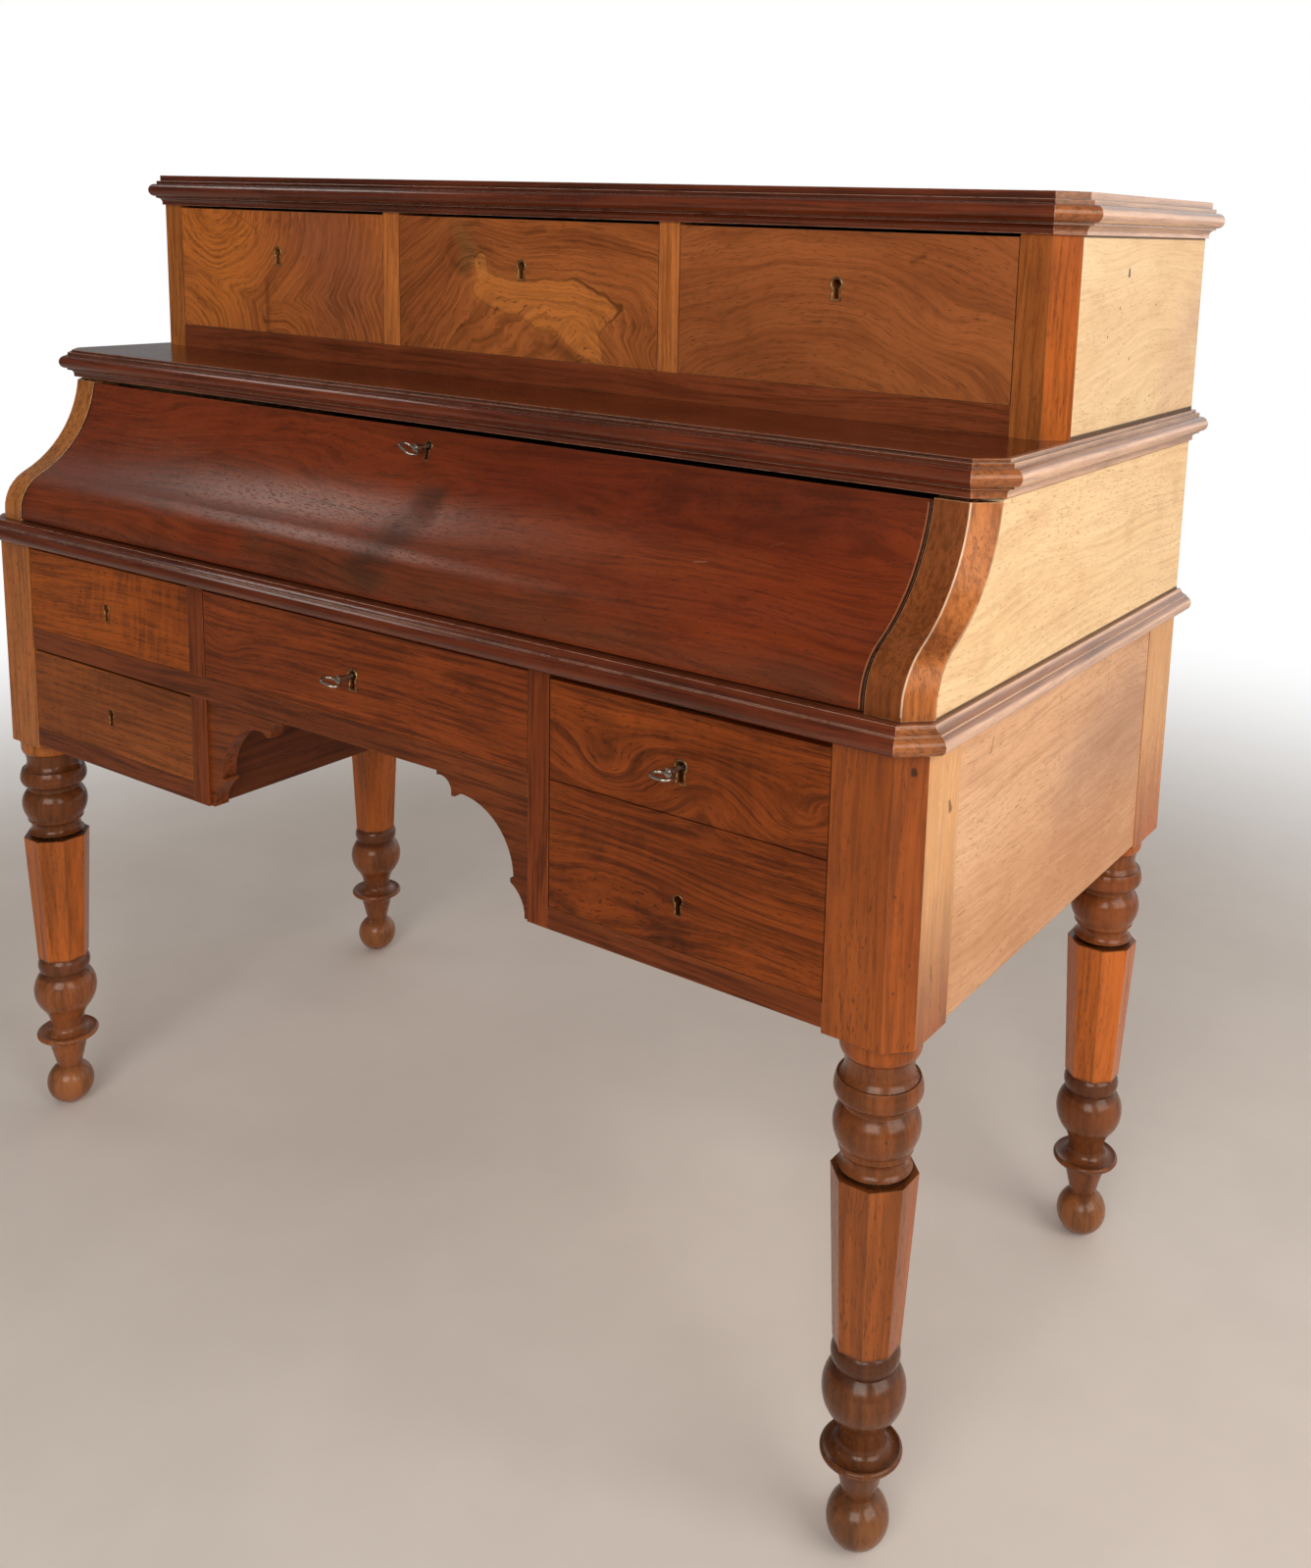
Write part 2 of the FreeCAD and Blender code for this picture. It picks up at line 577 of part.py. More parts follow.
def lock_case_space(x, y, z_key, z_head):
    """The block of space that a lock's case takes up."""
    spread = "lock_width / 2"
    return (f"{x} - {spread}", f"{x} + {spread}"), (y, f"{y} + lock_depth"), (f"{z_key} - lock_below", z_head)


def lock(prefix, x, y, z_key, z_head, face, turn):
    """A lock with its sliding bolt and its key, bolting upwards; face is y of the front at the key."""
    bolt_y = (f"{y} + lock_depth - lock_plate - bolt_board", f"{y} + lock_depth - lock_plate")
    bolt_x = (f"{x} - bolt_width / 2", f"{x} + bolt_width / 2")
    foot = f"{z_key} - bolt_foot"
    channel = board(
        (f"{bolt_x[0]} - bolt_play", f"{bolt_x[1]} + bolt_play"),
        (f"{bolt_y[0]} - bolt_play", f"{bolt_y[1]} + bolt_play"),
        (f"{foot} - bolt_play", f"{z_head} + bolt_play"),
    )
    chamber = rod("bit_long + 2 * key_play", x, f"{y} + lock_plate", z_key, "bit_wide + 3 * key_play", "Y")
    bore = rod("key_radius + key_play", x, f"{y} - key_play", z_key, "lock_plate + 2 * key_play", "Y")
    case = board(*lock_case_space(x, y, z_key, z_head))
    node(f"{prefix}_lock", cut(case, [channel, chamber, bore]))
    node(f"{prefix}_bolt", board(bolt_x, bolt_y, (foot, z_head)))
    node(f"{prefix}_key", key(x, face, z_key, f"{y} + lock_plate + key_play + bit_wide - ({face})", turn))


def key(x, face, z, inside, turn):
    """A key lying along Y with its oval bow to the front; inside is how far its tip goes behind the face."""
    stem_start = "(bow_long - key_reach - bow_wire)"
    shank = DOC.addObject("Part::Cylinder", "Shank")
    bind(shank, "Radius", "key_radius")
    bind(shank, "Height", f"{inside} - ({stem_start})")
    shank.Placement.Rotation = FreeCAD.Rotation(FreeCAD.Vector(-1, 0, 0), 90)
    bind(shank, "Placement.Base.y", stem_start)
    collar = DOC.addObject("Part::Cylinder", "Collar")
    bind(collar, "Radius", "collar_size")
    bind(collar, "Height", "collar_long")
    collar.Placement.Rotation = FreeCAD.Rotation(FreeCAD.Vector(-1, 0, 0), 90)
    bind(collar, "Placement.Base.y", f"{stem_start} + bow_wire")
    bit = DOC.addObject("Part::Box", "Bit")
    bind(bit, "Length", "bit_board")
    bind(bit, "Width", "bit_wide")
    bind(bit, "Height", "bit_long")
    bind(bit, "Placement.Base.x", "-bit_board / 2")
    bind(bit, "Placement.Base.y", f"{inside} - bit_wide")
    bind(bit, "Placement.Base.z", "-bit_long")
    whole = DOC.addObject("Part::MultiFuse", "Key")
    whole.Shapes = [shank, collar, bit, key_bow()]
    whole.Placement.Rotation = FreeCAD.Rotation(FreeCAD.Vector(0, 1, 0), value(turn))
    seat(whole, x, face, z)
    return whole


def key_bow():
    """The oval ring of a key, a round wire bent in the X-Y plane."""
    body = new_body("Bow")
    arc = "(bow_long / 2 - bow_wire)"
    reach = "(bow_wide / 2 - bow_wire)"
    middle = "(bow_long / 2 - key_reach)"
    straight = f"({reach} - {arc})"
    path = [
        (f"-{straight}", f"{middle} - {arc}", arc, 1), (straight, f"{middle} - {arc}"),
        (f"{straight} + {arc}", middle, arc, 1), (straight, f"{middle} + {arc}", arc, 1),
        (f"-{straight}", f"{middle} + {arc}"), (f"-({straight} + {arc})", middle, arc, 1),
    ]
    spine = draw(new_sketch(body, "XY_Plane"), path)
    wire = [(f"{middle} - {arc}", "0", "bow_wire")]
    section = draw(new_sketch(body, "YZ_Plane"), [], closed=False, holes=wire)
    ring = body.newObject("PartDesign::AdditivePipe", "Ring")
    ring.Profile = section
    ring.Spine = (spine, [f"Edge{index}" for index in range(1, len(path) + 1)])
    ring.Transition = "Right corner"
    return body


def drawer(label, x, z, y, locked=False, extra_tools=()):
    """A drawer filling an opening: its front with a keyhole, and a box of sides, back and bottom."""
    face = f"{y} + front_set"
    back = f"{face} + drawer_front"
    head = f"{z[1]} - head_gap"
    foot = f"{z[0]} + running_gap"
    middle = f"({x[0]} + {x[1]}) / 2"
    z_key = f"{head} - drawer_key_drop"
    tools = keyhole(middle, z_key, (face, back)) + list(extra_tools)
    if locked:
        tools.append(board(*lock_case_space(middle, f"{back} - lock_depth", z_key, head)))
    front = board((f"{x[0]} + front_gap", f"{x[1]} - front_gap"), (face, back), (foot, head))
    node(f"{label}_drawer_front", cut(front, tools))
    left = f"{x[0]} + side_gap"
    right = f"{x[1]} - side_gap"
    inside = (f"{left} + drawer_side", f"{right} - drawer_side")
    bottom = f"{foot} + floor_raise"
    side_z = (foot, f"{head} - side_drop")
    group(f"{label}_drawer_box", [
        board((left, inside[0]), (back, DRAWER_REAR), side_z),
        board((inside[1], right), (back, DRAWER_REAR), side_z),
        board(inside, (f"{DRAWER_REAR} - drawer_side", DRAWER_REAR), (f"{bottom} + drawer_floor", side_z[1])),
        board(inside, (back, DRAWER_REAR), (bottom, f"{bottom} + drawer_floor")),
    ])
    return middle, f"{back} - lock_depth", z_key, head, face


def nest_drawer(label, x):
    """A small drawer of the nest, with a turned knob."""
    z = (f"{Z_BED} + running_gap", f"{Z_NEST} - nest_board - head_gap")
    left = f"{x[0]} + front_gap"
    right = f"{x[1]} - front_gap"
    inside = (f"{left} + nest_side", f"{right} - nest_side")
    face = "nest_front + nest_front_board"
    rear = f"{REAR} - drawer_rear_gap"
    middle = f"({x[0]} + {x[1]}) / 2"
    z_knob = f"({z[0]} + {z[1]}) / 2"
    neck = rod("knob_neck", middle, "nest_front - knob_long / 2", z_knob, "knob_long / 2", "Y")
    head = rod("knob_radius", middle, "nest_front - knob_long", z_knob, "knob_long / 2", "Y")
    group(label, [
        board((left, right), ("nest_front", face), z),
        board((left, inside[0]), (face, rear), z),
        board((inside[1], right), (face, rear), z),
        board(inside, (f"{rear} - nest_side", rear), z),
        board(inside, (face, f"{rear} - nest_side"), (z[0], f"{z[0]} + drawer_floor")),
        neck, head,
    ])


def build_base():
    """Legs, frame, walls and floors of the base, the writing bed and its moulding."""
    for label, x_sign, front in (
        ("leg_front_left", "-", True), ("leg_front_right", "", True),
        ("leg_rear_left", "-", False), ("leg_rear_right", "", False),
    ):
        leg(label, x_sign, front)
    frame_z = (Z_RAIL, Z_BED_LOW)
    between_posts = ("post_depth", "case_depth - post_depth")
    group("base_sides", board_pair(
        (INNER, f"{HALF} - panel_set"), between_posts, frame_z))
    group("base_back", board_pair((KNEE, POST), (REAR, "case_depth"), (Z_RAIL, Z_MID)) + [
        board((f"-{POST}", POST), (REAR, "case_depth"), (Z_MID, Z_BED_LOW))])
    wall = (KNEE, f"{KNEE} + wall_board")
    group("knee_walls", board_pair(wall, ("rail_depth", REAR), frame_z))
    floor_z = (f"{Z_FLOOR} - floor_board", Z_FLOOR)
    group("pedestal_floors", board_pair((wall[1], POST), ("rail_depth", REAR), floor_z)
          + board_pair((POST, INNER), between_posts, floor_z))
    group("bottom_rails", board_pair((DIVIDER, POST), ("0", "rail_depth"), (Z_RAIL, Z_FLOOR)))
    node("middle_rail", board((f"-{POST}", KNEE), ("0", "rail_depth"), (Z_MID, Z_MID_TOP)))
    group("front_dividers", [
        board((KNEE, DIVIDER), ("0", "rail_depth"), frame_z),
        board((f"-{DIVIDER}", f"-{KNEE}"), ("0", "rail_depth"), (Z_RAIL, Z_MID)),
        board((f"-{DIVIDER}", f"-{KNEE}"), ("0", "rail_depth"), (Z_MID_TOP, Z_BED_LOW)),
    ])
    group("knee_brackets", [knee_bracket(""), knee_bracket("-")])
    runner_z = (f"{Z_MID_TOP} - runner_height", Z_MID_TOP)
    runner_y = ("rail_depth", REAR)
    group("drawer_runners", board_pair((f"{KNEE} - runner_width", KNEE), runner_y, runner_z) + [
        board((f"-({wall[1]} + runner_width)", f"-({wall[1]})"), runner_y, runner_z),
        board((f"-{INNER}", f"-({POST} - runner_width)"), between_posts, runner_z),
        board((f"-{INNER}", f"-{POST}"), between_posts, (Z_MID_TOP, f"{Z_MID_TOP} + guide_height")),
    ] + board_pair((POST, INNER), between_posts, (Z_FLOOR, f"{Z_FLOOR} + guide_height")))


def bolt_mortise(x, y, z):
    """Space for a bolt's tip, with its play."""
    return board(
        (f"{x} - bolt_width / 2 - 1", f"{x} + bolt_width / 2 + 1"),
        (f"{y} + lock_depth - lock_plate - bolt_board - 1", f"{y} + lock_depth - lock_plate + 1"), z)


def build_base_drawers():
    """Drawers of the base and their locks, and the writing bed that their bolts reach into."""
    top_z = (Z_MID_TOP, Z_WAIST)
    low_z = (Z_FLOOR, Z_MID)
    left_x = (f"-{POST}", f"-{DIVIDER}")
    drawer("left_top", left_x, top_z, "0")
    drawer("left_low", left_x, low_z, "0")
    centre = drawer("centre", (f"-{KNEE}", KNEE), top_z, "0", locked=True)
    right_x = (DIVIDER, POST)
    middle = f"({right_x[0]} + {right_x[1]}) / 2"
    line = board(right_x, ("front_set", "front_set + sham_depth"), (f"{Z_MID_TOP} - sham_line", Z_MID_TOP))
    sham = keyhole(middle, f"{Z_MID} - head_gap - drawer_key_drop", ("front_set", "front_set + drawer_front"))
    right_z = (Z_FLOOR, f"{Z_WAIST} - right_sag")
    right = drawer("right", right_x, right_z, "0", locked=True, extra_tools=[line] + sham)
    lock("centre", *centre, "centre_key_turn")
    lock("right", *right, "right_key_turn")
    mortise_z = (Z_BED_LOW, f"{Z_BED_LOW} + bolt_travel")
    mortises = [bolt_mortise(place[0], place[1], mortise_z) for place in (centre, right)]
    node("writing_bed", cut(canted_board("0", (Z_BED_LOW, Z_BED)), mortises))
    moulding("waist_moulding", WAIST_PROFILE, "(waist_foot + waist_bead)", "waist_height", "0",
             f"{Z_BED} - waist_height")


def build_stage():
    """The writing stage: ogee ends, sides, back, top, and the nest inside."""
    group("ogee_stiles", [ogee_stile(""), ogee_stile("-")])
    group("ogee_sides", [ogee_side(INNER), ogee_side(f"-{HALF}")])
    node("stage_back", board((f"-{INNER}", INNER), (REAR, "case_depth"), (Z_BED, Z_SOFFIT)))
    mortise = bolt_mortise("0", FALL_LOCK_Y, (Z_SOFFIT, f"{Z_SOFFIT} + bolt_travel / 2"))
    node("stage_top", cut(canted_board(OGEE_TOP_Y, (Z_SOFFIT, Z_TOP)), [mortise]))
    moulding("top_moulding", crown_profile("top_height"), "bead_reach", "top_height", OGEE_TOP_Y,
             f"{Z_TOP} - top_height")
    half = f"({INNER} - nest_gap)"
    wall = "(nest_middle / 2)"
    case_z = (Z_BED, f"{Z_NEST} - nest_board")
    depth = ("nest_front", REAR)
    group("nest_case", board_pair((f"{half} - nest_board", half), depth, case_z)
          + board_pair((wall, f"{wall} + nest_board"), depth, case_z)
          + [board((f"-{half}", half), depth, (case_z[1], Z_NEST))])
    space = (f"{wall} + nest_board", f"{half} - nest_board")
    nest_drawer("nest_drawer_right", space)
    nest_drawer("nest_drawer_left", mirrored(space))


def build_fall():
    """The swinging ogee fall with its arms, pivots and lock."""
    body = new_body("Fall")
    face = ogee_curve(foot="fall_foot_gap", sine=FALL_SIN, cosine=FALL_COS)
    inner = ogee_curve(inset="fall_board", foot="fall_foot_gap", sine=FALL_SIN, cosine=FALL_COS)
    sketch = draw(new_sketch(body, "YZ_Plane"), face + reversed_path(inner))
    pad(body, sketch, FALL_HALF, FALL_HALF)
    seat(body)
    z_head = f"({face[3][1]} - fall_board * {FALL_SIN})"
    z_key = f"({face[3][1]} - fall_key_drop)"
    key_sine = f"((({OGEE_MID_Z} + high_radius * sin(ogee_angle)) - {z_key}) / high_radius)"
    key_face = f"({OGEE_MID_Y} + high_radius * (sqrt(1 - {key_sine} ^ 2) - cos(ogee_angle)))"
    space = board(*lock_case_space("0", FALL_LOCK_Y, z_key, z_head))
    above = board(("-lock_width / 2", "lock_width / 2"), (FALL_LOCK_Y, f"{FALL_LOCK_Y} + fall_board"),
                  (z_head, f"{z_head} + fall_board"))
    hole = keyhole("0", z_key, (f"{key_face} - fall_board", f"{FALL_LOCK_Y} + lock_depth"))
    node("cylinder_fall", cut(body, [space, above] + hole))
    lock("fall", "0", FALL_LOCK_Y, z_key, z_head, key_face, "fall_key_turn")
    strike_x = ("-strike_width / 2", "strike_width / 2")
    strike_y = (f"{FALL_LOCK_Y} - 1", f"{FALL_LOCK_Y} + strike_depth")
    strike_z = (f"{Z_SOFFIT} - strike_height", Z_SOFFIT)
    slot = bolt_mortise("0", FALL_LOCK_Y, strike_z)
    node("strike_plate", cut(board(strike_x, strike_y, strike_z), [slot]))
    arm_x = (f"{FALL_HALF} - arm_inset - arm_board", f"{FALL_HALF} - arm_inset")
    group("cylinder_arms", [fall_arm(arm_x[0]), fall_arm(mirrored(arm_x)[0])])
    block_x = (f"{HALF} - stile_width", INNER)
    pin_end = f"{HALF} - stile_width + pin_depth"
    long = f"{pin_end} - ({arm_x[0]})"
    blocks = []
    pins = []
    for x, bore_x, pin_x in (
        (block_x, block_x[0], arm_x[0]), (mirrored(block_x), f"-({block_x[0]} + pin_depth)", f"-({pin_end})"),
    ):
        block = board(x, (f"{PIVOT_Y} - pivot_block / 2", f"{PIVOT_Y} + pivot_block / 2"),
                      (Z_BED, f"{PIVOT_Z} + pivot_block / 2"))
        blocks.append(cut(block, [rod("pin_radius + pin_play", bore_x, PIVOT_Y, PIVOT_Z, "pin_depth", "X")]))
        pins.append(rod("pin_radius", pin_x, PIVOT_Y, PIVOT_Z, long, "X"))
    group("pivot_blocks", blocks)
    group("pivot_pins", pins)


def fall_arm(x):
    """A cheek that carries one end of the fall on its pivot pin."""
    body = new_body("Arm")
    back = ogee_curve(inset="(fall_board + joint_line)", foot="fall_foot_gap", sine=FALL_SIN, cosine=FALL_COS)
    lean = "boss_radius * sqrt(0.5)"
    corners = back + [
        (f"{PIVOT_Y} + {lean}", f"{PIVOT_Z} + {lean}"),
        (PIVOT_Y, f"{PIVOT_Z} - boss_radius", "boss_radius", -1),
    ]
    bore = [(PIVOT_Y, PIVOT_Z, "pin_radius + pin_play")]
    pad(body, draw(new_sketch(body, "YZ_Plane"), corners, holes=bore), "arm_board")
    seat(body, x)
    return body


def build_upper():
    """The upper case with its three drawers, and the cornice."""
    group("upper_posts", [straight_post(""), straight_post("-")])
    case_z = (Z_TOP, Z_LID)
    group("upper_sides", board_pair((INNER, HALF), ("upper_setback + cant", "case_depth"), case_z))
    front = ("upper_setback", "upper_setback + rail_depth")
    inside = ("upper_setback + rail_depth", REAR)
    drawer_z = (Z_UPPER, Z_CORNICE)
    partition_x = (UPPER_MIDDLE, UPPER_DIVIDER)
    group("upper_partitions", board_pair(partition_x, ("upper_setback", REAR), drawer_z))
    between = (f"-{UPPER_POST}", UPPER_POST)
    group("upper_rails", [board(between, front, (Z_TOP, Z_UPPER)), board(between, front, (Z_CORNICE, Z_LID))])
    floor_z = (f"{Z_UPPER} - upper_floor_board", Z_UPPER)
    behind_posts = ("upper_setback + upper_post_depth", REAR)
    group("upper_floor", [
        board(between, inside, floor_z),
        *board_pair((UPPER_POST, INNER), behind_posts, floor_z),
        *board_pair((UPPER_POST, INNER), behind_posts, (Z_UPPER, f"{Z_UPPER} + guide_height")),
    ])
    node("upper_back", board((f"-{INNER}", INNER), (REAR, "case_depth"), case_z))
    node("cornice_top", canted_board("upper_setback", (Z_LID, Z_CROWN)))
    moulding("cornice_moulding", crown_profile("cornice_height"), "bead_reach", "cornice_height",
             "upper_setback", Z_CORNICE)
    side = (UPPER_DIVIDER, UPPER_POST)
    drawer("upper_left", mirrored(side), drawer_z, "upper_setback")
    drawer("upper_centre", (f"-{UPPER_MIDDLE}", UPPER_MIDDLE), drawer_z, "upper_setback")
    drawer("upper_right", side, drawer_z, "upper_setback")


def write_parts():
    """Check every object, then write each sub-part to its own file."""
    DOC.recompute()
    failed = [item.Label for item in DOC.Objects if {"Invalid", "Error"} & set(item.State)]
    bad = [item.Label for item in NODES if item.Shape.isNull() or not item.Shape.isValid()]
    if failed or bad:
        raise RuntimeError(f"failed objects {failed}, bad shapes {bad}")
    os.makedirs("parts", exist_ok=True)
    for item in NODES:
        item.Shape.exportStep(f"parts/{item.Label}.step")
        print(f"{item.Label}: {len(item.Shape.Solids)} solids, {item.Shape.Volume / 1000:.1f} cm3")


fill_sheet()
build_base()
build_base_drawers()
build_stage()
build_fall()
build_upper()
write_parts()
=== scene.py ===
"""Looks of the cylinder desk: walnut finishes, brass keyhole threads, floor, light and camera."""

import logging
import math
from dataclasses import dataclass, replace
from enum import Enum
from typing import ClassVar, Sequence, Union

import bpy
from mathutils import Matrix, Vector


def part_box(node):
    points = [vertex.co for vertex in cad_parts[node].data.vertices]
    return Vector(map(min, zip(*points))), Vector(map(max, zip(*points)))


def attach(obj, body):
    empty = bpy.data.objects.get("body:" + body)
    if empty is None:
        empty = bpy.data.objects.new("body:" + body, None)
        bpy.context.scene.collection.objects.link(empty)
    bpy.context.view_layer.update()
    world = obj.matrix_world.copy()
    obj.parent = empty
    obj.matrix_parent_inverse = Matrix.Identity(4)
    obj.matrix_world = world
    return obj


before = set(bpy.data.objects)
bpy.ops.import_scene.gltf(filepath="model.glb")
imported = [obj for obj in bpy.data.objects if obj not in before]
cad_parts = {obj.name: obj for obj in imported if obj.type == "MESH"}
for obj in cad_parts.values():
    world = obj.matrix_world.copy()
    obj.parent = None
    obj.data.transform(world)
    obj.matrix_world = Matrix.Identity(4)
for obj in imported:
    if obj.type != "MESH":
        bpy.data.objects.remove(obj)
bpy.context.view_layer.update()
LOG = logging.getLogger("desk")

Colour = tuple[int, int, int]
Pair = tuple[float, float]
Point = tuple[float, float, float]
Number = Union[int, float, "Value"]
MM = 0.001


def linear(colour: Colour) -> tuple[float, float, float, float]:
    """Turn a screen colour into the linear one that a shader takes.

    Args:
        colour: red, green and blue from 0 to 255.

    Returns:
        Linear red, green, blue and an alpha of 1.
    """
    shares = [part / 255 for part in colour]
    parts = [s / 12.92 if s <= 0.04045 else ((s + 0.055) / 1.055) ** 2.4 for s in shares]
    return (parts[0], parts[1], parts[2], 1.0)


def lit(colour: Colour, gain: float) -> Colour:
    """A lighter or darker screen colour."""
    return tuple(min(255, round(part * gain)) for part in colour)


def metres(lengths: float | tuple) -> float | tuple:
    """A length, or nested tuples of lengths, turned from millimetres into metres."""
    return tuple(map(metres, lengths)) if isinstance(lengths, tuple) else lengths * MM


class Value:
    """A number, colour or vector in a node tree; arithmetic on it adds Math nodes."""

    def __init__(self, tree: "Tree", socket: bpy.types.NodeSocket) -> None:
        """Keep the socket that carries this value."""
        self.tree = tree
        self.socket = socket

    def math(self, operation: str, *others: Number) -> "Value":
        """Add a Math node that starts with this value."""
        return self.tree.node("ShaderNodeMath", {"operation": operation}, [self, *others])

    def __add__(self, other: Number) -> "Value":
        """Sum."""
        return self.math("ADD", other)

    __radd__ = __add__

    def __sub__(self, other: Number) -> "Value":
        """Difference."""
        return self.math("SUBTRACT", other)

    def __rsub__(self, other: Number) -> "Value":
        """Difference with a plain number in front."""
        return self.tree.node("ShaderNodeMath", {"operation": "SUBTRACT"}, [other, self])

    def __mul__(self, other: Number) -> "Value":
        """Product."""
        return self.math("MULTIPLY", other)

    __rmul__ = __mul__

    def __truediv__(self, other: Number) -> "Value":
        """Quotient."""
        return self.math("DIVIDE", other)

    def least(self, other: Number, blend: float = 0.0) -> "Value":
        """Smaller of two values, rounded where they meet."""
        return self.math("SMOOTH_MIN", other, blend) if blend else self.math("MINIMUM", other)

    def most(self, other: Number) -> "Value":
        """Larger of two values."""
        return self.math("MAXIMUM", other)

    def step(self, start: float, end: float) -> "Value":
        """Rise smoothly from 0 at start to 1 at end, which may lie below it."""
        sockets = {"Value": self, "From Min": start, "From Max": end}
        return self.tree.node("ShaderNodeMapRange", {"interpolation_type": "SMOOTHSTEP"}, sockets)


class Tree:
    """A node tree that is written as Python expressions."""

    def __init__(self, tree: bpy.types.NodeTree) -> None:
        """Start from an empty tree."""
        tree.nodes.clear()
        self.tree = tree

    def node(
        self,
        kind: str,
        settings: dict | None = None,
        sockets: Sequence | dict | None = None,
        output: int | str = 0,
    ) -> Value:
        """Add a node.

        Args:
            kind: the node's type.
            settings: attributes of the node, set before its sockets.
            sockets: values or links of its inputs, in order or by name.
            output: which output is handed back.

        Returns:
            The value at that output.
        """
        made = self.tree.nodes.new(kind)
        for name, setting in (settings or {}).items():
            setattr(made, name, setting)
        pairs = sockets.items() if isinstance(sockets, dict) else enumerate(sockets or ())
        for key, content in pairs:
            if isinstance(content, Value):
                self.tree.links.new(content.socket, made.inputs[key])
            else:
                made.inputs[key].default_value = content
        return Value(self, made.outputs[output] if len(made.outputs) else None)

    def vector(self, operation: str, *parts: Value | Point) -> Value:
        """Vector maths on vectors or points."""
        return self.node("ShaderNodeVectorMath", {"operation": operation}, list(parts))

    def measure(self, operation: str, *parts: Value | Point) -> Value:
        """Vector maths whose result is a number."""
        return self.node("ShaderNodeVectorMath", {"operation": operation}, list(parts), "Value")

    def scaled(self, vector: Value, size: Number) -> Value:
        """A vector times a number."""
        return self.node("ShaderNodeVectorMath", {"operation": "SCALE"}, {0: vector, "Scale": size})

    def combine(self, x: Number, y: Number, z: Number) -> Value:
        """A vector of three numbers."""
        return self.node("ShaderNodeCombineXYZ", None, [x, y, z])

    def split(self, vector: Value) -> dict[str, Value]:
        """The three numbers of a vector, by axis."""
        parts = self.node("ShaderNodeSeparateXYZ", None, [vector])
        outputs = parts.socket.node.outputs
        return {axis: Value(self, outputs[axis]) for axis in "XYZ"}

    def mix(self, share: Number, base: Value | tuple, top: Value | tuple) -> Value:
        """Lay a colour over another, through the sockets that a Mix node keeps for colours."""
        return self.node("ShaderNodeMix", {"data_type": "RGBA"}, {0: share, 6: base, 7: top}, 2)

    def noise(
        self, place: Value, scale: Pair, detail: float = 2.0, rough: float = 0.5, output: int | str = 0
    ) -> Value:
        """Noise with so many patches per metre on the first axis and on the other two."""
        spot = self.vector("MULTIPLY", place, (scale[0], scale[1], scale[1]))
        sockets = {"Vector": spot, "Scale": 1.0, "Detail": detail, "Roughness": rough}
        return self.node("ShaderNodeTexNoise", None, sockets, output)


class Grain(Enum):
    """Which way the grain of a board runs; the other two axes lie across it."""

    ALONG_X = ("X", "Z", "Y")
    ALONG_Y = ("Y", "Z", "X")
    ALONG_Z = ("Z", "X", "Y")


class Plane(Enum):
    """The plane in which a mark on the wood is drawn."""

    FRONT = ("X", "Z")
    TOP = ("X", "Y")
    SIDE = ("Y", "Z")


@dataclass(frozen=True)
class Knot:
    """A place that the growth lines run round, in millimetres; an arched one bends all that are nearest."""

    at: Pair
    reach: Pair
    lift: float
    arched: bool = False
    offset: float = 0.0
    plane: Plane = Plane.FRONT


@dataclass(frozen=True)
class Mark:
    """A stain, flame, scratch or hole, or a painted highlight, shadow or reflection, along points with half
    widths, in millimetres.
    """

    path: tuple[Point, ...]
    colour: Colour
    amount: float = 1.0
    soft: float = 10.0
    ragged: float = 0.0
    rim: float = 0.0
    guide: float = 0.0
    over: bool = False
    dull: float = 0.0
    plane: Plane = Plane.FRONT


@dataclass(frozen=True)
class Band:
    """A range of heights in millimetres with another tone, such as the turned part of a leg."""

    low: float
    high: float
    colour: Colour
    amount: float
    soft: float = 4.0


@dataclass(frozen=True)
class Wood:
    """A polished wood: its colours, figure, pores, worn edges with painted highlights on them, painted shade in
    its hollows, and gloss.
    """

    name: str
    light: Colour
    mid: Colour
    dark: Colour
    grain: Grain = Grain.ALONG_X
    rings: float = 60.0
    ring_depth: float = 0.3
    plain: float = 1.0
    warp: float = 0.012
    streak: float = 0.55
    curl: float = 0.0
    pore: float = 0.4
    specks: float = 0.0
    gloss: float = 0.36
    shine: float = 0.16
    coat: float = 0.05
    glaze: float = 0.14
    edge: float = 1.0 * MM
    ripple: float = 1.2
    # How pale the flanks get: sun fading together with painted light from the lamp on the right.
    fade_and_light: float = 0.0
    fade_and_light_rise: Pair = (-1.0, -0.5)
    wraps: float | None = None
    # Tone of the canted faces: painted light, for the light that falls on them at another angle than on the
    # front.
    cant_light: Colour | None = None
    # Pale tone of faded flanks and lit edges, so it carries painted light as well.
    pale: Colour = (222, 176, 126)
    # How dark the hollows get: dirt together with painted shade.
    shade_and_grime: float = 0.5
    hollow: float = 14.0 * MM
    # How light the convex edges get: rubbed edges together with painted highlights along them.
    wear_and_glint: float = 0.12
    shift: Point = (0.0, 0.0, 0.0)
    knots: tuple[Knot, ...] = ()
    marks: tuple[Mark, ...] = ()
    bands: tuple[Band, ...] = ()

    def material(self) -> bpy.types.Material:
        """Build the finish.

        Returns:
            A material on Object coordinates.
        """
        material = bpy.data.materials.new(self.name)
        material.use_nodes = True
        WoodTree(material.node_tree, self).build()
        material.diffuse_color = linear(self.mid)
        return material


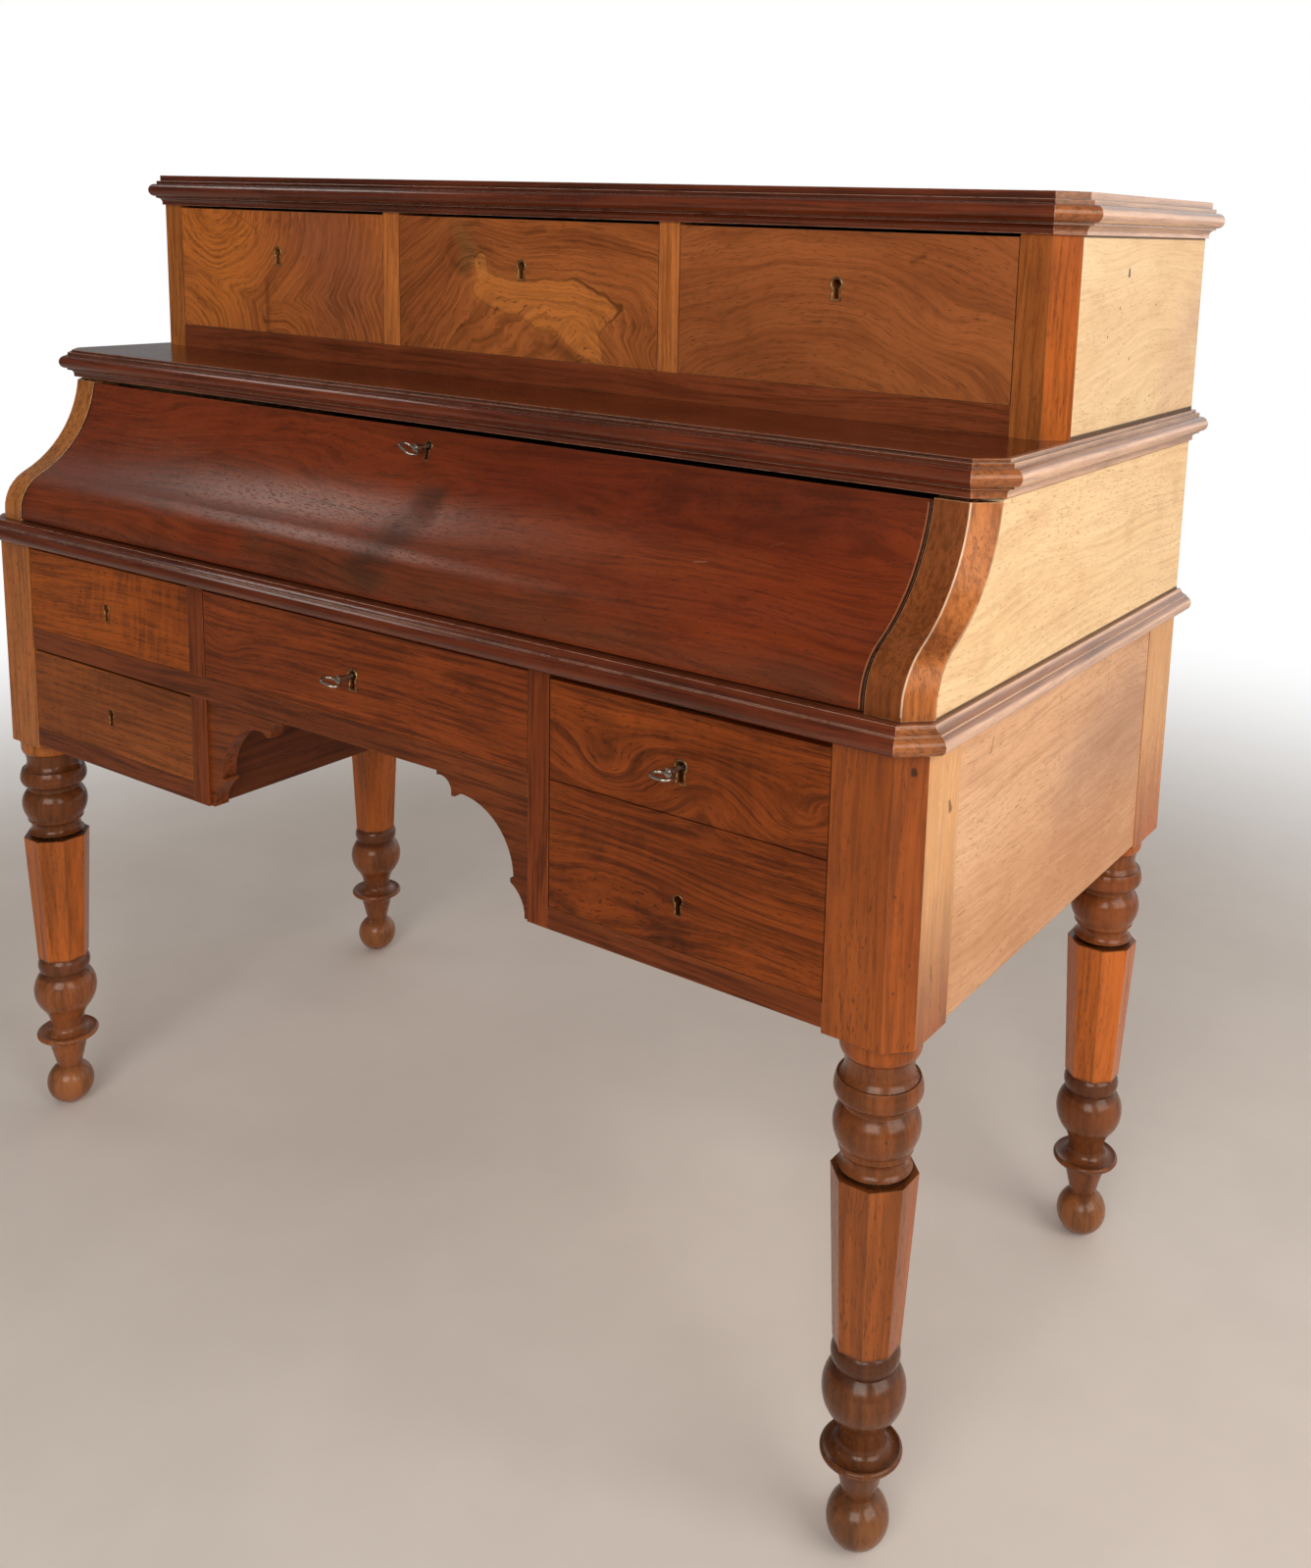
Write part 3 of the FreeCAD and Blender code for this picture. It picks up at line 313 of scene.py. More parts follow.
class WoodTree(Tree):
    """The node tree of a wood finish."""

    # Dark of worm holes and dirt, and of the painted shade laid in hollows.
    GRIME_AND_SHADE: Colour = (24, 11, 6)
    POLISH: Colour = (255, 220, 186)
    MITRE: float = math.tan(math.pi / 8)
    MITRE_SOFT: float = 0.3 * MM
    CANT_START: float = 607.0 * MM
    CANT: float = 20.0 * MM
    OUTER_FACE: Pair = (619.0 * MM, 622.0 * MM)
    KNOT_WANDER: float = 6.0 * MM
    ARCH_JOIN: float = 6.0 * MM
    MARK_JOIN: float = 8.0 * MM
    BUMP: float = 0.6 * MM
    SAMPLES: int = 4
    WORM_CELLS: float = 42.0
    # Patches of noise per metre, along and across the grain.
    SLOW: Pair = (13.0, 13.0)
    QUICK: Pair = (44.0, 44.0)
    BEND: Pair = (1.8, 5.0)
    FINE: Pair = (8.0, 230.0)
    MEDIUM: Pair = (2.4, 48.0)
    BROAD: Pair = (2.6, 9.0)
    UNEVEN: Pair = (0.6, 26.0)
    FADE: Pair = (3.0, 16.0)
    MOTTLE: Pair = (16.0, 28.0)
    CURL: Pair = (105.0, 16.0)
    CURL_PATCH: Pair = (6.0, 14.0)
    PORES: Pair = (110.0, 820.0)
    WORN: Pair = (46.0, 46.0)
    CLOUD: Pair = (6.5, 6.5)

    def __init__(self, tree: bpy.types.NodeTree, wood: Wood) -> None:
        """Lay the wood's coordinates along its grain and bend them a little."""
        super().__init__(tree)
        self.wood = wood
        self.knots = [self.in_metres(knot, "at", "reach", "lift", "offset") for knot in wood.knots]
        self.marks = [self.in_metres(mark, "path", "soft", "ragged", "rim") for mark in wood.marks]
        self.bands = [self.in_metres(band, "low", "high", "soft") for band in wood.bands]
        self.place = self.node("ShaderNodeTexCoord", None, None, "Object")
        self.axes = self.split(self.place)
        self.facing = self.node("ShaderNodeNewGeometry", None, None, "Normal")
        board = self.combine(*(self.axes[axis] for axis in wood.grain.value))
        if wood.wraps is not None:
            self.flank, self.beyond_front = self.wrap_shares()
            turned = self.combine(*(self.axes[axis] for axis in Grain.ALONG_Y.value))
            board = self.vector("ADD", board, self.scaled(self.vector("SUBTRACT", turned, board), self.flank))
        board = self.vector("ADD", board, wood.shift)
        slow = self.scaled(self.centred(self.noise(self.place, self.SLOW, 1.0, output="Color")), 3.0)
        quick = self.centred(self.noise(self.place, self.QUICK, 2.0, 0.6, "Color"))
        self.wander = self.vector("ADD", slow, quick)
        bend = self.centred(self.noise(board, self.BEND, output="Color"))
        bent = self.split(self.vector("ADD", board, self.scaled(bend, wood.warp * 4)))
        self.growth = self.grow(bent["Y"])
        self.lay = self.combine(bent["X"], self.growth, bent["Z"])
        self.fine = self.noise(self.lay, self.FINE, 4.0, 0.65)
        self.medium = self.noise(self.lay, self.MEDIUM, 3.0, 0.55)
        self.broad = self.noise(self.lay, self.BROAD)

    def in_metres(self, item: Knot | Mark | Band, *names: str) -> Knot | Mark | Band:
        """A knot, mark or band with the named lengths in metres."""
        return replace(item, **{name: metres(getattr(item, name)) for name in names})

    def wrap_shares(self) -> tuple[Value, Value]:
        """Where a moulding that runs round the case has left its front.

        Returns:
            Shares of the flank, and of the flank and the canted length together.
        """
        across, back = self.axes["X"].math("ABSOLUTE"), self.axes["Y"] - self.wood.wraps
        beyond_flank = back + across * self.MITRE - self.CANT - (self.CANT_START + self.CANT) * self.MITRE
        beyond_front = across + back * self.MITRE - self.CANT_START
        soft = self.MITRE_SOFT
        return beyond_flank.step(-soft, soft), beyond_front.step(-soft, soft)

    def centred(self, colour: Value) -> Value:
        """A noise colour as a vector about zero."""
        return self.vector("SUBTRACT", colour, (0.5, 0.5, 0.5))

    def on_plane(self, plane: Plane, ragged: float = 0.0) -> Value:
        """Coordinates in a plane, with a ragged wander if asked for."""
        first, second = (self.axes[axis] for axis in plane.value)
        flat = self.combine(first, second, 0.0)
        return self.vector("ADD", flat, self.scaled(self.wander, ragged)) if ragged else flat

    def grow(self, across: Value) -> Value:
        """Bend the growth lines round knots and along flames.

        Args:
            across: distance across the straight grain.

        Returns:
            A distance that stays the same all along one growth line.
        """
        field = across * self.wood.plain
        arches: Value | None = None
        for knot in self.knots:
            spot = self.on_plane(knot.plane, self.KNOT_WANDER)
            away = self.vector("SUBTRACT", spot, (*knot.at, 0.0))
            far = self.measure("LENGTH", self.vector("DIVIDE", away, (*knot.reach, 1.0)))
            square = far * far
            if knot.arched:
                arch = (square + 0.2).math("SQRT") * knot.lift + knot.offset
                arches = arch if arches is None else arches.least(arch, self.ARCH_JOIN)
            else:
                field = field + knot.lift * (square * -1.0).math("EXPONENT")
        if arches is not None:
            field = field + arches
        for mark in self.marks:
            if mark.guide:
                field = field + self.mark_distance(mark) * mark.guide
        return field

    def figure(self) -> Value:
        """How dark the growth lines are, from 0 to 1."""
        uneven = self.noise(self.lay, self.UNEVEN, 1.0)
        turns = self.growth * self.wood.rings + (self.broad - 0.5) * 2.0
        turns = turns + (uneven - 0.5) * 2.4 + (self.medium - 0.5) * 0.4
        line = self.ring(turns, 0.1, 0.9)
        slim = self.ring(turns * 2.7, 0.2, 0.85)
        fade = self.noise(self.lay, self.FADE).step(0.3, 0.68)
        return line * (0.15 + 0.85 * fade) + slim * (0.55 - 0.3 * fade)

    def ring(self, turns: Value, start: float, crest: float) -> Value:
        """Lines that darken slowly and end sharply, each as strong as chance has it."""
        share = turns.math("FRACT")
        chance = self.node("ShaderNodeTexWhiteNoise", {"noise_dimensions": "1D"}, {"W": turns.math("FLOOR")})
        return share.step(start, crest) * share.step(1.0, crest) * (0.2 + 0.8 * chance)

    def base(self) -> Value:
        """The wood's own colour with flames, figure, streaks and curl."""
        wood = self.wood
        light, mid, dark = linear(wood.light), linear(wood.mid), linear(wood.dark)
        colour = self.mix((self.broad * 0.6 + self.medium * 0.4).step(0.36, 0.66), mid, light)
        colour = self.with_marks(colour, False)
        colour = self.mix(self.figure() * wood.ring_depth, colour, dark)
        mottle = self.noise(self.lay, self.MOTTLE, 3.0, 0.6)
        layers = (
            (self.fine, 0.45, 0.64, wood.streak, dark), (self.fine, 0.48, 0.3, wood.streak * 0.6, light),
            (self.medium, 0.5, 0.72, wood.streak * 0.5, dark), (mottle, 0.5, 0.75, 0.24, dark),
            (mottle, 0.5, 0.28, 0.2, light),
        )
        for noise, start, end, share, tone in layers:
            colour = self.mix(noise.step(start, end) * share, colour, tone)
        colour = self.veiled(colour)
        if wood.curl:
            ripple = self.noise(self.lay, self.CURL, 2.0, 0.6)
            patch = self.noise(self.lay, self.CURL_PATCH, 1.0).step(0.35, 0.7)
            colour = self.mix(ripple.step(0.42, 0.66) * patch * wood.curl, colour, light)
            colour = self.mix(ripple.step(0.5, 0.3) * patch * (wood.curl * 0.6), colour, dark)
        return colour

    def veiled(self, colour: Value) -> Value:
        """Let the flames that guide the growth lines show through them."""
        for mark in self.marks:
            if mark.guide:
                colour = self.mix(self.inside(mark) * 0.3, colour, linear(mark.colour))
        return colour

    def pores(self) -> Value:
        """Short open pores along the grain."""
        spots = self.noise(self.lay, self.PORES, 1.0)
        return spots.step(0.6, 0.7) * self.medium.step(0.2, 0.6)

    def worm_holes(self) -> Value:
        """Dark specks in about half of the cells that the wood is strewn with."""
        sockets = {"Vector": self.place, "Scale": self.WORM_CELLS, "Randomness": 1.0}
        cell = self.node("ShaderNodeTexVoronoi", {"feature": "F1"}, sockets, "Color")
        near = Value(self, cell.socket.node.outputs["Distance"])
        return near.step(0.085, 0.045) * self.split(cell)["X"].step(0.5, 0.55)

    def mark_distance(self, mark: Mark) -> Value:
        """Distance outside a mark's path, negative within it."""
        spot = self.on_plane(mark.plane, mark.ragged)
        if len(mark.path) == 1:
            a, b, reach = mark.path[0]
            return self.measure("DISTANCE", spot, (a, b, 0.0)) - reach
        nearest: Value | None = None
        for start, end in zip(mark.path, mark.path[1:]):
            run = (end[0] - start[0], end[1] - start[1], 0.0)
            away = self.vector("SUBTRACT", spot, (start[0], start[1], 0.0))
            share = self.measure("DOT_PRODUCT", away, run) / (run[0] ** 2 + run[1] ** 2)
            share = share.most(0.0).least(1.0)
            off = self.vector("SUBTRACT", away, self.scaled(self.combine(*run), share))
            gap = self.measure("LENGTH", off) - (share * (end[2] - start[2]) + start[2])
            nearest = gap if nearest is None else nearest.least(gap, self.MARK_JOIN)
        return nearest

    def inside(self, mark: Mark) -> Value:
        """How far a place lies within a mark, from 0 to 1."""
        return self.mark_distance(mark).step(mark.soft, -mark.soft)

    def with_marks(self, colour: Value, over: bool) -> Value:
        """Add the flames, stains and painted highlights, shadows and reflections under the grain, or the
        scratches, holes and painted edge lines over it.
        """
        for mark in self.marks:
            if mark.over != over:
                continue
            gap = self.mark_distance(mark)
            colour = self.mix(gap.step(mark.soft, -mark.soft) * mark.amount, colour, linear(mark.colour))
            if mark.rim:
                broken = self.split(self.wander)["Z"].step(-0.35, 0.3)
                rim = gap.math("ABSOLUTE").step(mark.rim, 0.0) * (0.3 + 0.7 * broken)
                colour = self.mix(rim, colour, linear(self.wood.dark))
        return colour

    def with_bands(self, colour: Value) -> Value:
        """Retone the ranges of height that are coloured apart."""
        tone = (self.broad * 0.35 + self.medium * 0.4 + self.fine * 0.25).step(0.38, 0.62)
        for band in self.bands:
            retoned = self.mix(tone, linear(lit(band.colour, 1.16)), linear(lit(band.colour, 0.72)))
            height = self.axes["Z"]
            inside = height.step(band.low - band.soft, band.low + band.soft)
            inside = inside * height.step(band.high + band.soft, band.high - band.soft)
            colour = self.mix(inside * band.amount, colour, retoned)
        return colour

    def faded_and_lit(self, colour: Value) -> Value:
        """The colour with its flanks paled, the right one most: partly sun fading, partly painted light from the
        lamp on the right.
        """
        wood, facing = self.wood, self.split(self.facing)
        if wood.wraps is not None:
            # Mouldings pale only on their right flank, and less where the face looks up: painted light from the
            # right.
            level = facing["Z"].step(0.3, 0.75)
            faded = self.flank * self.axes["X"].step(-0.1, 0.1) * (1.0 - 0.7 * level)
        else:
            sideways = facing["X"]
            faded = sideways.step(0.82, 0.97) + 0.6 * (sideways * -1.0).step(0.82, 0.97)
            outside = self.axes["X"].math("ABSOLUTE").step(*self.OUTER_FACE)
            faded = faded * outside * self.axes["Z"].step(*wood.fade_and_light_rise)
        pale = self.mix(0.5, self.retoned(colour, wood.pale), linear(wood.pale))
        return self.mix(faded * wood.fade_and_light, colour, pale)

    def retoned(self, colour: Value, tone: Colour) -> Value:
        """The colour moved from the wood's middle tone to another one, with its grain."""
        ratio = tuple(new / old for new, old in zip(linear(tone)[:3], linear(self.wood.mid)[:3]))
        return self.vector("MULTIPLY", colour, ratio)

    def canted(self, colour: Value) -> Value:
        """The colour with the canted faces in another tone: painted light, for the light that falls on them at
        another angle than on the front.
        """
        if self.wood.wraps is not None:
            share = self.beyond_front - self.flank
        else:
            sideways = self.split(self.facing)["X"].math("ABSOLUTE")
            share = sideways.step(0.4, 0.6) * sideways.step(0.9, 0.8)
        return self.mix(share, colour, self.retoned(colour, self.wood.cant_light))

    def build(self) -> None:
        """Join colour, gloss and bump in one shader."""
        wood = self.wood
        pores = self.pores()
        colour = self.with_bands(self.base()) if wood.bands else self.base()
        colour = self.mix(pores * wood.pore, colour, linear(wood.dark))
        if wood.cant_light:
            colour = self.canted(colour)
        if wood.fade_and_light:
            colour = self.faded_and_lit(colour)
        colour = self.with_marks(colour, True)
        if wood.specks:
            colour = self.mix(self.worm_holes() * wood.specks, colour, linear(self.GRIME_AND_SHADE))
        worn = self.noise(self.place, self.WORN, 3.0, 0.65)
        settings = {"samples": self.SAMPLES, "only_local": True}
        # Painted shade with some dirt: hollows that ambient occlusion finds go towards the dark colour of dirt
        # and shade.
        open_sky = self.node("ShaderNodeAmbientOcclusion", settings, {"Distance": wood.hollow}, "AO")
        shaded_hollow = open_sky.step(0.92, 0.4) * (0.55 + 0.5 * worn)
        colour = self.mix(shaded_hollow * wood.shade_and_grime, colour, linear(self.GRIME_AND_SHADE))
        # Painted highlights with some real rubbing: convex edges that the bevel finds go towards the pale
        # colour.
        soft_edge = self.node("ShaderNodeBevel", {"samples": self.SAMPLES}, {"Radius": wood.edge})
        turned = 1.0 - self.measure("DOT_PRODUCT", soft_edge, self.facing)
        edge = turned.step(0.01, 0.06) * worn.step(0.26, 0.52) * open_sky.step(0.55, 0.85)
        colour = self.mix(edge * wood.wear_and_glint, colour, linear(wood.pale))
        cloud = self.noise(self.place, self.CLOUD, 3.0, 0.55)
        rough = wood.gloss + (cloud - 0.5) * 0.2 + pores * 0.15 + (worn - 0.5) * 0.08
        for mark in self.marks:
            if mark.dull:
                rough = rough + self.inside(mark) * mark.dull
        height = self.fine * 0.25 - pores * 0.6 + cloud * wood.ripple
        sockets = {"Strength": 0.35, "Distance": self.BUMP, "Height": height, "Normal": soft_edge}
        bump = self.node("ShaderNodeBump", None, sockets)
        sockets = {
            "Base Color": colour, "Roughness": rough, "Normal": bump,
            "Coat Weight": wood.coat, "Coat Roughness": wood.glaze,
            "Specular IOR Level": wood.shine, "Specular Tint": linear(self.POLISH),
        }
        shader = self.node("ShaderNodeBsdfPrincipled", None, sockets)
        self.node("ShaderNodeOutputMaterial", None, {"Surface": shader})


@dataclass(frozen=True)
class Metal:
    """A bright metal under tarnish."""

    name: str
    bright: Colour
    tarnish: Colour
    share: float
    gloss: float
    cloud: Pair = (260.0, 260.0)
    grit: Pair = (1500.0, 1500.0)
    bump: float = 0.2 * MM

    def material(self) -> bpy.types.Material:
        """Build the finish.

        Returns:
            A material on Object coordinates.
        """
        material = bpy.data.materials.new(self.name)
        material.use_nodes = True
        tree = Tree(material.node_tree)
        place = tree.node("ShaderNodeTexCoord", None, None, "Object")
        cloud = tree.noise(place, self.cloud, 4.0, 0.65)
        grit = tree.noise(place, self.grit, 2.0, 0.6)
        dull = (cloud * 0.75 + grit * 0.25).step(0.62 - 0.3 * self.share, 0.78 - 0.3 * self.share)
        colour = tree.mix(dull, linear(self.bright), linear(self.tarnish))
        bump = tree.node("ShaderNodeBump", None, {"Strength": 0.3, "Distance": self.bump, "Height": grit})
        sockets = {
            "Base Color": colour, "Metallic": 1.0 - 0.55 * dull, "Roughness": self.gloss + 0.25 * dull,
            "Normal": bump,
        }
        shader = tree.node("ShaderNodeBsdfPrincipled", None, sockets)
        tree.node("ShaderNodeOutputMaterial", None, {"Surface": shader})
        material.diffuse_color = linear(self.bright)
        return material


def dress(finish: Wood | Metal, *nodes: str) -> bpy.types.Material:
    """Build a finish and give it to CAD nodes.

    Args:
        finish: the finish.
        nodes: names of the nodes.

    Returns:
        Its material.
    """
    material = finish.material()
    for name in nodes:
        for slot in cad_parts[name].material_slots:
            slot.material = material
        LOG.info("%s: %s", name, material.name)
    return material


PINE = {
    "light": (196, 145, 94), "mid": (174, 121, 73), "dark": (120, 74, 40),
    "rings": 120, "coat": 0.0, "shade_and_grime": 0.4, "wear_and_glint": 0.15,
}


@dataclass
class Base:
    """The table base: legs, rails, sides, drawers and their boxes."""

    leg: Wood = Wood(
        "leg_turning", (166, 84, 28), (142, 67, 18), (84, 37, 11), Grain.ALONG_Z, streak=0.48,
        pore=0.8, gloss=0.26, shine=0.22, coat=0.3, glaze=0.17, fade_and_light=0.95,
        fade_and_light_rise=(0.46, 0.68), pale=(228, 166, 106), shade_and_grime=1.0, hollow=26 * MM, wear_and_glint=0.2, specks=0.5,
        bands=(
            Band(204, 368, (148, 78, 30), 0.75, 2), Band(368, 478, (114, 62, 31), 0.85, 2),
            Band(0, 204, (92, 54, 31), 0.85, 2), Band(0, 52, (122, 78, 46), 0.6),
            Band(178, 206, (70, 38, 26), 0.6, 2),
        ),
        marks=(
            Mark(((-600, 520, 60), (-600, 750, 60)), (178, 110, 48), 0.65),
            Mark(((618, 735, 1.6), (618.5, 731, 2)), (48, 20, 8), 0.9, 0.8, over=True),
            Mark(((-223, 696, 2), (-221, 689, 3)), (112, 66, 32), 0.8, 1.5, 1, over=True, plane=Plane.SIDE),
            Mark(((-240, 560, 1), (-238, 548, 1.6)), (120, 72, 36), 0.7, 1, 1, over=True, plane=Plane.SIDE),
        ),
    )
    rail: Wood = Wood("rail_walnut", (128, 62, 28), (106, 48, 20), (56, 24, 10), streak=0.68)
    upright: Wood = Wood("divider_walnut", (135, 63, 26), (108, 46, 17), (60, 24, 9), Grain.ALONG_Z, streak=0.68)
    wall: Wood = Wood("knee_wall_walnut", (108, 54, 28), (88, 42, 20), (48, 22, 10), Grain.ALONG_Y, gloss=0.5)
    # Pale colours: partly sun-faded wood, partly painted light from the lamp on the right.
    side: Wood = Wood(
        "base_side_walnut", (231, 181, 138), (218, 164, 121), (160, 107, 68), Grain.ALONG_Y, rings=80,
        ring_depth=0.2, warp=0.03, streak=0.26, pore=0.6, specks=0.9, gloss=0.42, shade_and_grime=0.3,
        # Dark line at the joint under the waist moulding, partly painted shadow under its lip.
        bands=(Band(745.5, 752, (58, 34, 22), 0.8, 0.8),),
        marks=(
            Mark(((-260, 520, 60), (320, 530, 60)), (168, 100, 54), 0.5, 80, 20, plane=Plane.SIDE),
            Mark(((60, 640, 40), (280, 670, 70)), (160, 120, 104), 0.6, 70, 20, plane=Plane.SIDE),
            Mark(((-146, 716, 0.8), (-142, 728, 0.5)), (84, 48, 30), 0.8, 1, 1, over=True, plane=Plane.SIDE),
            Mark(((124, 700, 0.5), (128, 735, 0.4)), (96, 58, 38), 0.7, 0.8, 1, over=True, plane=Plane.SIDE),
        ),
    )
    left_top: Wood = Wood(
        "left_top_front", (164, 80, 22), (126, 56, 13), (58, 23, 7), rings=80, curl=0.6, pore=0.6,
        shift=(3.1, 0.4, 0.0),
    )
    left_low: Wood = Wood(
        "left_low_front", (156, 82, 34), (122, 60, 22), (60, 27, 10), rings=80, curl=0.2, pore=0.6,
        shift=(1.7, 2.2, 0.0),
    )
    centre: Wood = Wood(
        "centre_front", (148, 68, 26), (114, 48, 16), (52, 20, 7), rings=100, pore=0.6,
        ring_depth=0.5, streak=0.65, knots=(Knot((-194, 687), (30, 16), 10),), shift=(0.3, 5.0, 0.0),
    )
    right: Wood = Wood(
        "right_front", (150, 70, 23), (110, 47, 14), (44, 16, 5), rings=100, ring_depth=0.5,
        warp=0.024, streak=0.6, pore=0.6, curl=0.1, wear_and_glint=0.0, shift=(0.9, 1.1, 0.0),
        knots=(
            Knot((320, 671), (50, 26), 26), Knot((430, 665), (50, 22), -22),
            Knot((518, 669), (60, 26), 26), Knot((340, 585), (80, 30), -24),
            Knot((250, 500), (160, 60), 30),
        ),
        marks=(
            Mark(((290, 668, 14), (335, 674, 12)), (156, 76, 28), 0.5, 20, 12),
            Mark(((400, 655, 10), (440, 650, 12)), (156, 76, 28), 0.5, 20, 12),
            Mark(((490, 664, 12), (530, 672, 16)), (156, 76, 28), 0.55, 20, 12),
            Mark(((375, 541, 8), (405, 537, 12)), (36, 16, 8), 0.8, 14, 6),
            Mark(((262, 533, 6), (285, 528, 4)), (30, 13, 7), 0.7, 10, 6),
            Mark(((297, 599, 3), (315, 594, 4)), (46, 20, 9), 0.6, 8, 6),
        ),
    )
    pine: Wood = Wood(
        "carcase_pine", **PINE, grain=Grain.ALONG_Y, ring_depth=0.4, streak=0.41, gloss=0.62, specks=0.4,
    )
    back: Wood = Wood("back_pine", **PINE, ring_depth=0.45, streak=0.47, gloss=0.65, specks=0.6)

    LEG_GAINS: ClassVar[dict[str, tuple[float, ...]]] = {
        "front_left": (1.14, 0.76, 1.42, 1.12, 1.0),
        "rear_left": (1.12, 0.8, 1.3, 1.12, 1.0),
        "rear_right": (1.18, 1.0, 1.1, 1.12, 1.0),
    }

    def faded_leg(self, name: str, gains: tuple[float, ...]) -> Wood:
        """The finish of a leg whose parts have faded apart from those of the nearest one.

        Args:
            name: the leg's place.
            gains: how much lighter each band is; the post goes with the shaft, which comes first.

        Returns:
            The finish.
        """
        bands = tuple(replace(band, colour=lit(band.colour, gain)) for band, gain in zip(self.leg.bands, gains))
        light, mid = lit(self.leg.light, gains[0]), lit(self.leg.mid, gains[0])
        return replace(self.leg, name=f"leg_{name}_turning", light=light, mid=mid, bands=bands)

    def dress(self) -> None:
        """Finish every node of the base."""
        dress(self.leg, "leg_front_right")
        for name, gains in self.LEG_GAINS.items():
            dress(self.faded_leg(name, gains), f"leg_{name}")
        dress(self.rail, "bottom_rails", "middle_rail", "knee_brackets")
        dress(self.upright, "front_dividers")
        dress(self.wall, "knee_walls")
        dress(self.side, "base_sides")
        drawers = ("left_top", "left_low", "centre", "right")
        for name in drawers:
            dress(getattr(self, name), f"{name}_drawer_front")
        drawers += ("upper_left", "upper_centre", "upper_right")
        hidden = ("pedestal_floors", "drawer_runners", "upper_floor", "pivot_blocks", "cylinder_arms")
        dress(self.pine, *hidden, *(f"{name}_drawer_box" for name in drawers))
        dress(self.back, "base_back", "stage_back", "upper_back")


